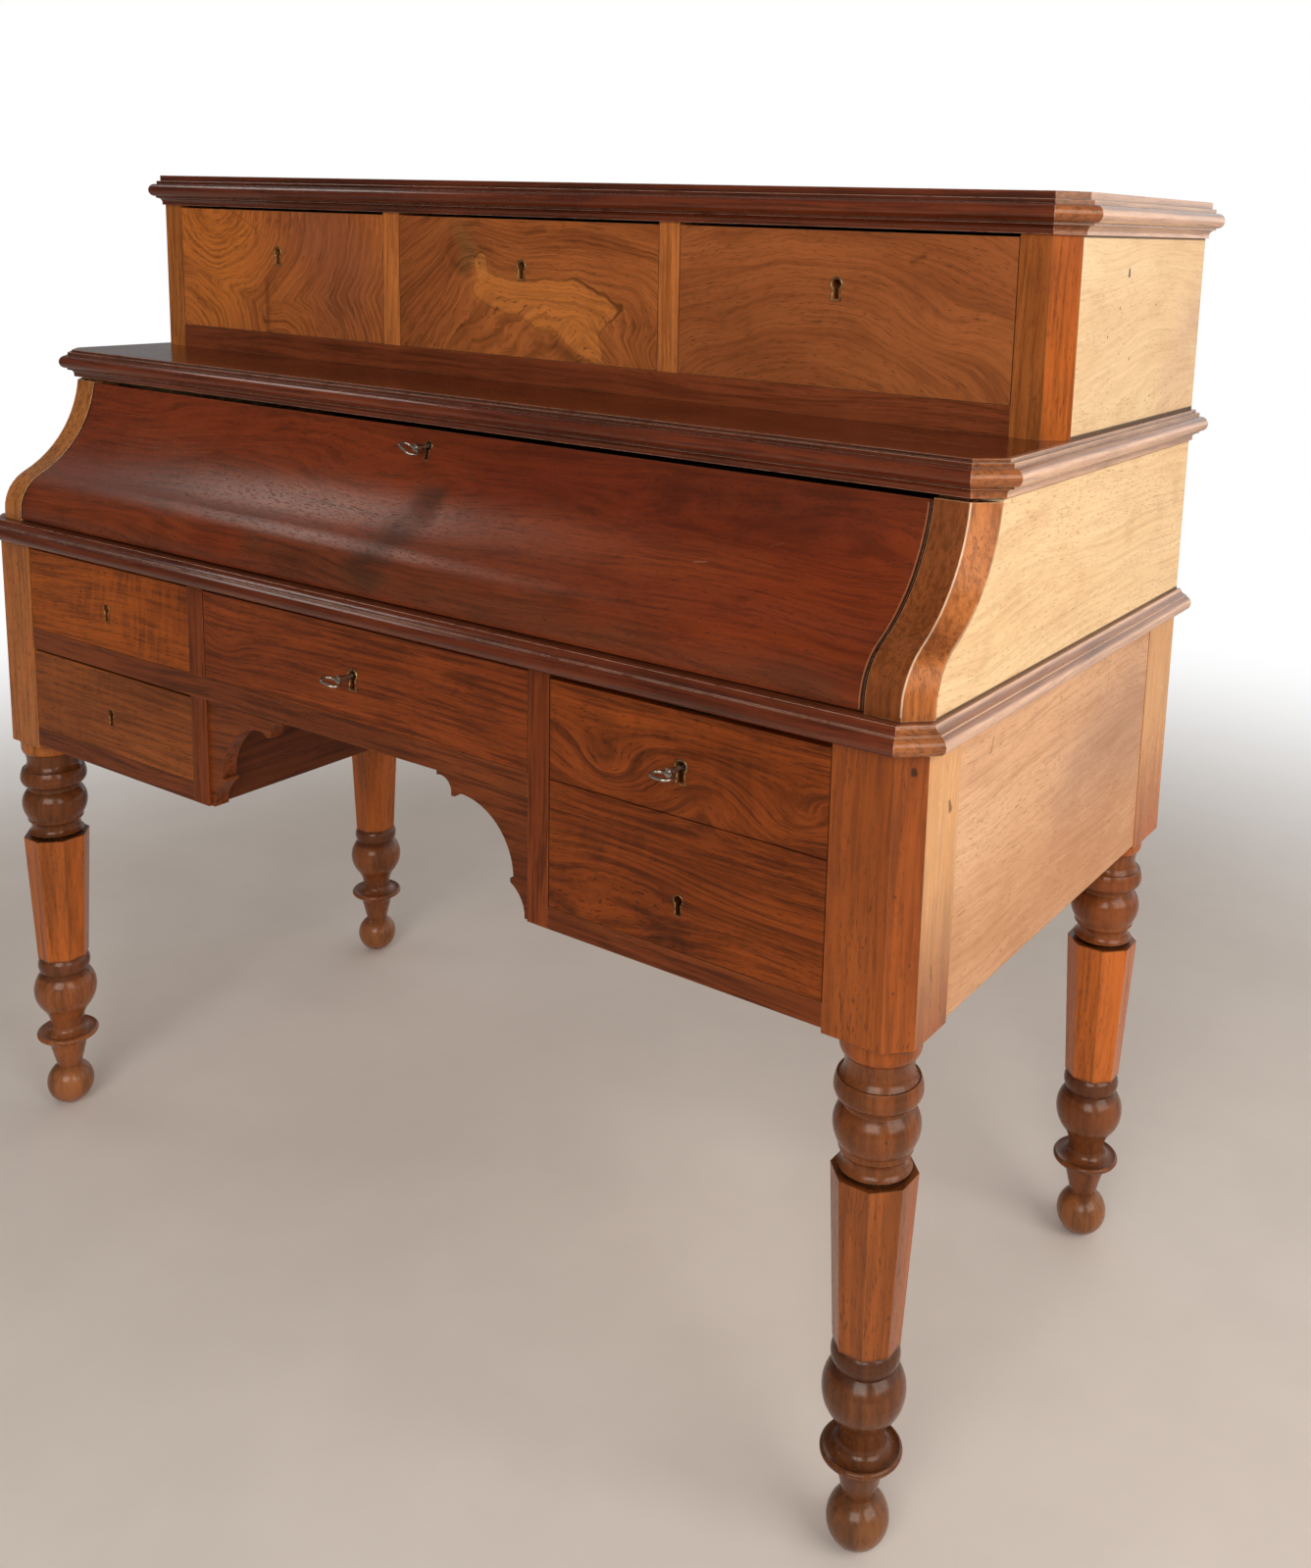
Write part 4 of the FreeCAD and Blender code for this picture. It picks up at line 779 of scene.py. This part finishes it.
@dataclass
class Stage:
    """The writing stage: bed, waist moulding, ogee stiles and sides, the fall, the top and the nest."""

    moulding: Wood = Wood(
        "moulding_walnut", (118, 52, 27), (84, 34, 17), (38, 13, 7), rings=50, streak=0.5,
        gloss=0.16, shine=0.4, coat=0.26, glaze=0.06, edge=1.1 * MM, ripple=0.6, fade_and_light=0.9,
        pale=(214, 170, 143), cant_light=(126, 70, 38), shade_and_grime=1.0, hollow=9 * MM, wear_and_glint=0.85,
    )
    bed: Wood = Wood("bed_walnut", (120, 60, 34), (94, 44, 24), (48, 21, 11), rings=100, gloss=0.3, coat=0.3)
    top: Wood = Wood(
        "top_walnut", (100, 42, 20), (76, 28, 13), (36, 13, 6), rings=90,
        gloss=0.16, shine=0.4, coat=0.4, ripple=0.5,
        marks=tuple(
            Mark(path, (190, 140, 110), amount, 0.8, 1, over=True, plane=Plane.TOP)
            for path, amount in (
                (((500, -122, 0.7), (535, -118, 0.4)), 0.8), (((545, -108, 0.6), (580, -112, 0.4)), 0.7),
                (((470, -75, 0.5), (530, -90, 0.5)), 0.6),
            )
        ),
    )
    stile: Wood = Wood(
        "stile_walnut", (156, 86, 42), (124, 64, 28), (72, 33, 13), Grain.ALONG_Z, streak=0.5,
        pore=0.7, gloss=0.26, shine=0.2, coat=0.1, fade_and_light=0.9, pale=(244, 204, 158), cant_light=(170, 98, 48),
        edge=1.5 * MM, wear_and_glint=0.5,
        marks=(
            # Painted shade: the top of the right stile darker, under the top moulding.
            Mark(((590, 930, 14), (590, 900, 10)), (62, 30, 16), 0.5, 24, 4),
            Mark(((-600, 770, 50), (-600, 940, 50)), (196, 124, 64), 0.75),
            # Painted highlights: thin light lines along the inner arrises of both stiles.
            *(
                Mark(((x, 776, 0.6), (x, 930, 0.6)), (240, 206, 172), 0.85, 0.7, 0.8, over=True)
                for x in (-607, 607)
            ),
        ),
    )
    # Pale colours: partly sun-faded wood, partly painted light from the lamp on the right.
    side: Wood = Wood(
        "ogee_side_walnut", (252, 216, 166), (243, 202, 150), (186, 134, 86), Grain.ALONG_Y, rings=90,
        ring_depth=0.2, warp=0.024, streak=0.22, pore=0.6, specks=0.6, gloss=0.4, shade_and_grime=0.3,
        # Dark lines at the joints with the mouldings; under the top moulding's lip the dark also stands for
        # painted shadow.
        bands=(Band(770, 774.2, (52, 32, 20), 0.85, 0.7), Band(932.5, 936, (58, 36, 22), 0.8, 0.7)),
    )
    fall: Wood = Wood(
        "fall_walnut", (128, 52, 21), (100, 37, 13), (44, 14, 5), rings=110, ring_depth=0.36,
        warp=0.027, streak=0.36, pore=0.5, gloss=0.28, shine=0.42, coat=0.06, glaze=0.2, ripple=0.5, shade_and_grime=0.3,
        shift=(0.4, 0.0, 2.0),
        knots=(Knot((-100, 864), (200, 20), 16), Knot((443, 876), (200, 28), 30)),
        marks=(
            Mark(((38, 868, 8), (28, 858, 12)), (5, 4, 3), 0.95, 14, 10, dull=0.3),
            Mark(((18, 845, 16), (-4, 812, 20), (20, 800, 12)), (10, 8, 6), 0.85, 22, 14, dull=0.1),
            Mark(((100, 900, 20), (500, 895, 30)), (112, 36, 18), 0.5, 50, 20),
            # Painted highlight: a lighter band along the fall's hollow, where the polish catches the light.
            Mark(((-460, 868, 12), (-80, 848, 16), (240, 838, 10)), (140, 70, 40), 0.5, 30, 10),
            Mark(((-540, 800, 14), (-280, 797, 14)), (150, 70, 32), 0.6, 30, 10),
            # Painted reflection: a dim olive band low on the fall, where the floor is mirrored.
            Mark(((-160, 800, 12), (100, 794, 12), (540, 786, 8)), (86, 54, 34), 0.65, 20, 8),
            Mark(((160, 856, 6), (300, 846, 12), (440, 850, 6)), (146, 66, 30), 0.5, 14, 12),
            # Painted shadow: a darker band under the fall's top edge, on the right, below the top moulding.
            Mark(((300, 905, 10), (520, 900, 14)), (66, 24, 11), 0.5, 22, 12),
            Mark(((400, 800, 20), (540, 880, 30)), (140, 52, 20), 0.5, 50, 20),
            # Painted highlight: a thin light line along the fall's right arris.
            Mark(((569.7, 776, 0.4), (569.7, 926, 0.4)), (186, 128, 88), 0.7, 0.6, 0.6, over=True),
            # Painted shadow: dark lines along the fall's side edges, where the gaps to the stiles lie in shade.
            *(Mark(((x, 770, 1.2), (x, 930, 1.2)), (18, 9, 5), 0.9, 0.8, 0.6, over=True) for x in (572, -572)),
            Mark(((360, 851, 0.4), (374, 853, 0.3)), (190, 130, 100), 0.4, 0.6, 2, over=True),
            Mark(((430, 872, 0.4), (442, 876, 0.3)), (190, 130, 100), 0.35, 0.6, 2, over=True),
        ),
    )
    nest: Wood = Wood(
        "nest_walnut", (176, 108, 62), (146, 86, 48), (92, 50, 27), rings=90, ring_depth=0.4,
        gloss=0.4, shift=(0.0, 3.0, 0.0),
    )

    FRONTS: ClassVar[dict[str, float]] = {"waist": -282.25, "top": -172.52, "cornice": -38.25}

    def dress(self) -> None:
        """Finish every node of the writing stage."""
        for name, front in self.FRONTS.items():
            wood = replace(self.moulding, name=f"{name}_moulding_walnut", wraps=front * MM)
            dress(wood, f"{name}_moulding")
        dress(self.bed, "writing_bed")
        dress(self.top, "stage_top", "cornice_top")
        dress(self.stile, "ogee_stiles")
        dress(self.side, "ogee_sides")
        dress(self.fall, "cylinder_fall")
        dress(self.nest, "nest_case", "nest_drawer_left", "nest_drawer_right")


@dataclass
class Upper:
    """The upper case: posts, rails, partitions, sides and three drawer fronts."""

    post: Wood = Wood(
        "upper_post_walnut", (174, 99, 45), (146, 78, 33), (90, 44, 17), Grain.ALONG_Z, ring_depth=0.25,
        streak=0.5, pore=0.6, fade_and_light=0.85, pale=(230, 186, 134), cant_light=(156, 76, 25), specks=0.4,
        marks=(Mark(((-610, 960, 50), (-610, 1150, 50)), (186, 112, 52), 0.6),),
    )
    rail: Wood = Wood("upper_rail_walnut", (137, 67, 36), (111, 51, 26), (62, 28, 12), streak=0.5)
    partition: Wood = Wood(
        "partition_walnut", (206, 124, 62), (180, 100, 46), (110, 56, 24), Grain.ALONG_Z, ring_depth=0.2,
    )
    # Pale colours: partly sun-faded wood, partly painted light from the lamp on the right.
    side: Wood = Wood(
        "upper_side_walnut", (242, 208, 160), (232, 192, 142), (180, 130, 84), Grain.ALONG_Y, rings=80,
        ring_depth=0.18, warp=0.03, streak=0.2, specks=0.9, gloss=0.42, shade_and_grime=0.3, shift=(0.0, 0.7, 0.3),
        # Dark lines at the joints with the stage top and the cornice; under the cornice's lip the dark also
        # stands for painted shadow.
        bands=(Band(964, 970.5, (46, 28, 18), 0.9, 0.8), Band(1143.5, 1147, (58, 36, 22), 0.8, 0.7)),
        marks=(
            Mark(((100, 1110, 2.2), (100, 1115, 1.6)), (52, 28, 16), 1.0, 1, over=True, plane=Plane.SIDE),
            Mark(((240, 1000, 20), (300, 1050, 30)), (206, 162, 132), 0.6, 50, 20, plane=Plane.SIDE),
            *(
                Mark(((*spot, 1.2),), (74, 44, 26), 0.9, 1, over=True, plane=Plane.SIDE)
                for spot in ((180, 1081), (82, 1080), (55, 1055), (115, 1032), (180, 992))
            ),
        ),
    )
    left: Wood = Wood(
        "upper_left_front", (204, 116, 54), (166, 90, 42), (76, 36, 15), rings=120, ring_depth=0.48,
        plain=0.0, warp=0.018, streak=0.42, pore=0.6,
        knots=(
            Knot((-508, 1146), (50, 40), 45, True), Knot((-585, 985), (50, 40), 45, True),
            Knot((-400, 970), (50, 40), 45, True, 100),
        ),
        marks=(
            Mark(((-560, 1120, 50), (-480, 1100, 40), (-520, 1030, 50)), (206, 116, 44), 0.75, 40, 12),
            Mark(((-330, 1120, 50), (-270, 1050, 60)), (148, 82, 50), 0.75, 50, 12),
            Mark(((-391, 1076, 1), (-414, 1056, 2), (-415.5, 1000, 3)), (70, 34, 16), 0.75, 6, 4),
            Mark(((-486, 1144.6, 0.4), (-413.6, 1111, 0.5)), (92, 46, 18), 0.8, 0.8, 1, over=True),
            Mark(((-263.5, 1066.7, 1),), (70, 34, 20), 0.8, 1.2, over=True),
            Mark(((-320, 1125, 30), (-260, 1100, 35)), (152, 86, 54), 0.45, 30, 10, over=True),
        ),
    )
    centre: Wood = Wood(
        "upper_centre_front", (182, 102, 50), (146, 78, 37), (66, 32, 14), rings=110, ring_depth=0.42,
        warp=0.02, streak=0.45, pore=0.6,
        knots=(Knot((-90, 1110), (35, 40), -30), Knot((190, 990), (50, 50), 50)),
        marks=(
            Mark(
                ((-55, 1068, 19), (-12, 1060.5, 18), (33, 1053.5, 27), (74, 1054, 27), (111, 1056, 14),
                 (137, 1056.5, 2), (74, 1040.6, 28), (87.6, 1022, 20), (101.5, 1008, 12), (117, 995, 3)),
                (206, 122, 56), 0.75, 7, 7, 3, 0.8,
            ),
            Mark(((-88, 1132, 8), (-82, 1110, 14), (-88, 1094, 12)), (136, 92, 48), 0.75, 10, 12),
            Mark(((-100, 1136, 2), (-103, 1118, 2), (-112, 1106, 2)), (66, 40, 22), 0.7, 4, 8),
            Mark(((-72, 1124, 2), (-58, 1110, 2), (-30, 1098, 1)), (66, 38, 20), 0.6, 4, 8),
            Mark(((-61, 1094.4, 11), (-58, 1080, 10)), (200, 124, 60), 0.85, 5, 4, 2),
            Mark(((-105, 1094, 3), (-83, 1087, 6)), (72, 42, 24), 0.6, 8, 6),
            Mark(((-78, 1134, 3), (-60, 1136, 4)), (70, 44, 26), 0.7, 6, 6),
            Mark(((45, 1012, 4), (58, 1006, 7), (78, 998, 7)), (48, 25, 13), 0.75, 9, 6),
            Mark(((-61, 1094, 1.2),), (70, 36, 16), 0.9, 1.4, over=True),
        ),
    )
    right: Wood = Wood(
        "upper_right_front", (170, 96, 50), (142, 76, 38), (78, 39, 18), rings=130, ring_depth=0.16,
        warp=0.018, streak=0.32, pore=0.6, shift=(0.0, 1.6, 0.4), plain=0.25,
        knots=(
            Knot((365, 955), (100, 60), 60, True), Knot((505, 1066), (50, 30), 20),
            Knot((270, 1055), (30, 30), 12),
        ),
        marks=(
            Mark(((474, 1119, 2), (484, 1124, 1.5)), (58, 30, 16), 0.6, 4, 4),
            Mark(((270, 1060, 2), (295, 1055, 4)), (100, 56, 28), 0.5, 12, 6),
        ),
    )

    def dress(self) -> None:
        """Finish every node of the upper case."""
        dress(self.post, "upper_posts")
        dress(self.rail, "upper_rails")
        dress(self.partition, "upper_partitions")
        dress(self.side, "upper_sides")
        for name in ("left", "centre", "right"):
            dress(getattr(self, name), f"upper_{name}_drawer_front")


class ThreadTree(Tree):
    """The geometry tree that sweeps a round brass wire along the outline of each keyhole."""

    def __init__(self) -> None:
        """Build the tree with named inputs for its sizes."""
        super().__init__(bpy.data.node_groups.new("keyhole_thread", "GeometryNodeTree"))
        face = self.tree.interface
        kinds = {"Outlines": "Geometry", "Wire Radius": "Float", "Wire Sides": "Int", "Finish": "Material"}
        self.keys: dict[str, str] = {}
        for name, kind in kinds.items():
            self.keys[name] = face.new_socket(name, in_out="INPUT", socket_type=f"NodeSocket{kind}").identifier
        face.new_socket("Threads", in_out="OUTPUT", socket_type="NodeSocketGeometry")
        given = self.node("NodeGroupInput").socket.node.outputs
        inputs = {name: Value(self, given[name]) for name in kinds}
        path = self.node("GeometryNodeMeshToCurve", None, {"Mesh": inputs["Outlines"]}, "Curve")
        sockets = {"Resolution": inputs["Wire Sides"], "Radius": inputs["Wire Radius"]}
        ring = self.node("GeometryNodeCurvePrimitiveCircle", None, sockets, "Curve")
        wire = self.node("GeometryNodeCurveToMesh", None, {"Curve": path, "Profile Curve": ring}, "Mesh")
        smooth = self.node("GeometryNodeSetShadeSmooth", None, {"Geometry": wire}, "Geometry")
        real = self.node("GeometryNodeRealizeInstances", None, {"Geometry": smooth}, "Geometry")
        sockets = {"Geometry": real, "Material": inputs["Finish"]}
        done = self.node("GeometryNodeSetMaterial", None, sockets, "Geometry")
        self.node("NodeGroupOutput", None, {"Threads": done})


@dataclass(frozen=True)
class Thread:
    """The brass wire let in round a keyhole: its outline and its radius."""

    head: float
    neck: float
    skirt: float
    drop: float
    wire: float
    head_steps: int = 18

    def outline(self) -> list[Pair]:
        """Points of the outline round the keyhole's centre, across and up."""
        start = math.asin(self.neck / self.head)
        sweep = 2 * math.pi - 2 * start
        turns = [-math.pi / 2 + start + sweep * step / self.head_steps for step in range(self.head_steps + 1)]
        points = [(self.head * math.cos(turn), self.head * math.sin(turn)) for turn in turns]
        return points + [(-self.skirt, -self.drop), (self.skirt, -self.drop)]


@dataclass(frozen=True)
class Keyhole:
    """A keyhole: its name, body and node, its centre across and up, and its thread."""

    name: str
    body: str
    node: str
    x: float
    z: float
    thread: Thread


@dataclass
class Fittings:
    """Brass keyhole threads, locks, keys and pins."""

    brass: Metal = Metal("lock_brass", (160, 134, 86), (60, 48, 32), 0.6, 0.34)
    steel: Metal = Metal("key_steel", (176, 166, 152), (64, 52, 42), 0.42, 0.26)
    large: Thread = Thread(6.1 * MM, 3.8 * MM, 5.2 * MM, 15.6 * MM, 1.0 * MM)
    small: Thread = Thread(4.9 * MM, 2.9 * MM, 3.4 * MM, 14.4 * MM, 0.55 * MM)
    wire_sides: int = 10
    key_drop: float = 49.0 * MM
    fall_key: float = 912.4 * MM
    ray_start: float = 100.0 * MM

    def keyholes(self) -> list[Keyhole]:
        """The keyholes of the fall and the drawers, the sham one of the right drawer last."""
        holes = [Keyhole("fall", "cylinder", "cylinder_fall", 0.0, self.fall_key, self.small)]
        for name in ("upper_left", "upper_centre", "upper_right", "centre", "left_top", "left_low", "right"):
            node = f"{name}_drawer_front"
            low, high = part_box(node)
            thread = self.small if name.startswith("left") else self.large
            x, z = (low.x + high.x) / 2, high.z - self.key_drop
            holes.append(Keyhole(name, f"{name}_drawer", node, x, z, thread))
        holes.append(replace(holes[-1], name="right_sham", z=holes[-2].z, thread=self.small))
        return holes

    def build(self) -> None:
        """Finish the metal nodes and make the keyhole threads."""
        locked = ("fall", "centre", "right")
        brass = dress(self.brass, "strike_plate", *(f"{name}_lock" for name in locked))
        dress(self.steel, "pivot_pins", *(f"{name}_{part}" for name in locked for part in ("bolt", "key")))
        tree = ThreadTree()
        for hole in self.keyholes():
            piece = self.sweep(hole, tree, brass)
            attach(piece, hole.body)
            LOG.info("%s rides on %s", piece.name, hole.body)

    def sweep(self, hole: Keyhole, tree: ThreadTree, brass: bpy.types.Material) -> bpy.types.Object:
        """Sweep the wire round a keyhole.

        Args:
            hole: the keyhole.
            tree: the sweeping tree.
            brass: the finish.

        Returns:
            A plain mesh object at the origin.
        """
        name = f"{hole.name}_keyhole_thread"
        points = [self.on_face(hole.node, hole.x + across, hole.z + up) for across, up in hole.thread.outline()]
        edges = [(step, (step + 1) % len(points)) for step in range(len(points))]
        path = bpy.data.meshes.new(f"{name}_path")
        path.from_pydata(points, edges, [])
        piece = bpy.data.objects.new(name, path)
        bpy.context.scene.collection.objects.link(piece)
        sweep = piece.modifiers.new("sweep", "NODES")
        sweep.node_group = tree.tree
        sweep[tree.keys["Wire Radius"]] = hole.thread.wire
        sweep[tree.keys["Wire Sides"]] = self.wire_sides
        sweep[tree.keys["Finish"]] = brass
        view = bpy.context.evaluated_depsgraph_get()
        mesh = bpy.data.meshes.new_from_object(piece.evaluated_get(view))
        piece.modifiers.clear()
        piece.data = mesh
        bpy.data.meshes.remove(path)
        mesh.name = name
        return piece

    def on_face(self, node: str, x: float, z: float) -> Vector:
        """The point of a node's front at a place across and up."""
        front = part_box(node)[0].y - self.ray_start
        found, spot, _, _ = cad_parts[node].ray_cast(Vector((x, front, z)), Vector((0, 1, 0)))
        return spot if found else Vector((x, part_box(node)[0].y, z))


@dataclass(frozen=True)
class Lamp:
    """A soft window of light: its place, the point that it faces, its width and height, and its power."""

    name: str
    at: Point
    aim: Point
    size: Pair
    watts: float

    def build(self) -> None:
        """Hang the lamp."""
        light = bpy.data.lights.new(self.name, "AREA")
        light.shape = "RECTANGLE"
        light.size, light.size_y = self.size
        light.energy = self.watts
        lamp = bpy.data.objects.new(self.name, light)
        lamp.location = self.at
        lamp.rotation_euler = (Vector(self.aim) - Vector(self.at)).to_track_quat("-Z", "Y").to_euler()
        bpy.context.scene.collection.objects.link(lamp)


@dataclass
class Studio:
    """Floor, world, lamps and camera."""

    lamps: tuple[Lamp, ...] = (
        Lamp("right_window", (3.3, -0.5, 2.0), (0.4, 0.0, 0.7), (2.4, 2.0), 58),
        Lamp("front_window", (1.5, -3.5, 2.3), (0.0, -0.1, 0.7), (2.4, 2.0), 82),
        Lamp("left_window", (-2.05, -0.47, 2.57), (-0.1, -0.2, 0.85), (1.0, 0.6), 5),
    )
    floor: Colour = (222, 209, 197)
    floor_reach: float = 14.0
    floor_fade: Pair = (1.1, 3.0)
    dust: Pair = (5.0, 5.0)
    camera_at: Point = (1.12636, -1.28058, 1.14843)
    camera_turn: Point = (79.5314, -1.8005, 33.3070)
    lens: float = 34.995
    sensor: float = 36.0
    shift: Pair = (-0.06887, -0.17910)

    def build(self) -> None:
        """Set the stage round the desk."""
        self.lay_floor()
        self.light_world()
        for lamp in self.lamps:
            lamp.build()
        self.place_camera()

    def lay_floor(self) -> None:
        """A plain pale floor that fades to white away from the desk."""
        mesh = bpy.data.meshes.new("floor")
        reach = self.floor_reach
        corners = [(-reach, -reach, 0), (reach, -reach, 0), (reach, reach, 0), (-reach, reach, 0)]
        mesh.from_pydata(corners, [], [(0, 1, 2, 3)])
        floor = bpy.data.objects.new("floor", mesh)
        bpy.context.scene.collection.objects.link(floor)
        material = bpy.data.materials.new("floor")
        material.use_nodes = True
        tree = Tree(material.node_tree)
        place = tree.node("ShaderNodeTexCoord", None, None, "Object")
        away = tree.measure("LENGTH", place)
        seen = tree.node("ShaderNodeLightPath", None, None, "Is Camera Ray")
        dust = tree.noise(place, self.dust, 4.0, 0.6)
        colour = tree.mix(dust.step(0.35, 0.65), linear(self.floor), linear(lit(self.floor, 1.02)))
        matt = tree.node("ShaderNodeBsdfPrincipled", None, {"Base Color": colour, "Roughness": 0.75})
        white = tree.node("ShaderNodeEmission", None, {"Color": (1, 1, 1, 1), "Strength": 1.0})
        share = away.step(*self.floor_fade) * seen
        shader = tree.node("ShaderNodeMixShader", None, [share, matt, white])
        tree.node("ShaderNodeOutputMaterial", None, {"Surface": shader})
        mesh.materials.append(material)

    def light_world(self) -> None:
        """A pale sky, white to the camera and darker towards the front, so that the polish stays deep."""
        scene = bpy.context.scene
        world = bpy.data.worlds.new("studio")
        scene.world = world
        world.use_nodes = True
        tree = Tree(world.node_tree)
        way = tree.split(tree.node("ShaderNodeTexCoord", None, None, "Generated"))
        seen = tree.node("ShaderNodeLightPath", None, None, "Is Camera Ray")
        glow = (0.36 + 0.6 * way["Y"].step(-0.3, 0.6)) * (1.0 - 0.6 * way["Z"].step(0.35, 0.9))
        glow = glow * (0.25 + 0.75 * way["X"].step(-0.85, -0.1))
        strength = glow * (1.0 - seen) + seen
        sky = tree.node("ShaderNodeBackground", None, {"Color": (1, 1, 1, 1), "Strength": strength})
        tree.node("ShaderNodeOutputWorld", None, {"Surface": sky})
        scene.view_settings.view_transform = "Standard"

    def place_camera(self) -> None:
        """The photograph's view."""
        camera = bpy.data.cameras.new("camera")
        camera.lens = self.lens
        camera.sensor_width = self.sensor
        camera.shift_x, camera.shift_y = self.shift
        viewer = bpy.data.objects.new("camera", camera)
        viewer.location = self.camera_at
        viewer.rotation_euler = [math.radians(turn) for turn in self.camera_turn]
        bpy.context.scene.collection.objects.link(viewer)
        bpy.context.scene.camera = viewer


def main() -> None:
    """Build and dress the desk, then set the stage."""
    logging.basicConfig(level=logging.INFO, format="%(message)s")
    Base().dress()
    Stage().dress()
    Upper().dress()
    Fittings().build()
    Studio().build()


if __name__ == "__main__":
    main()
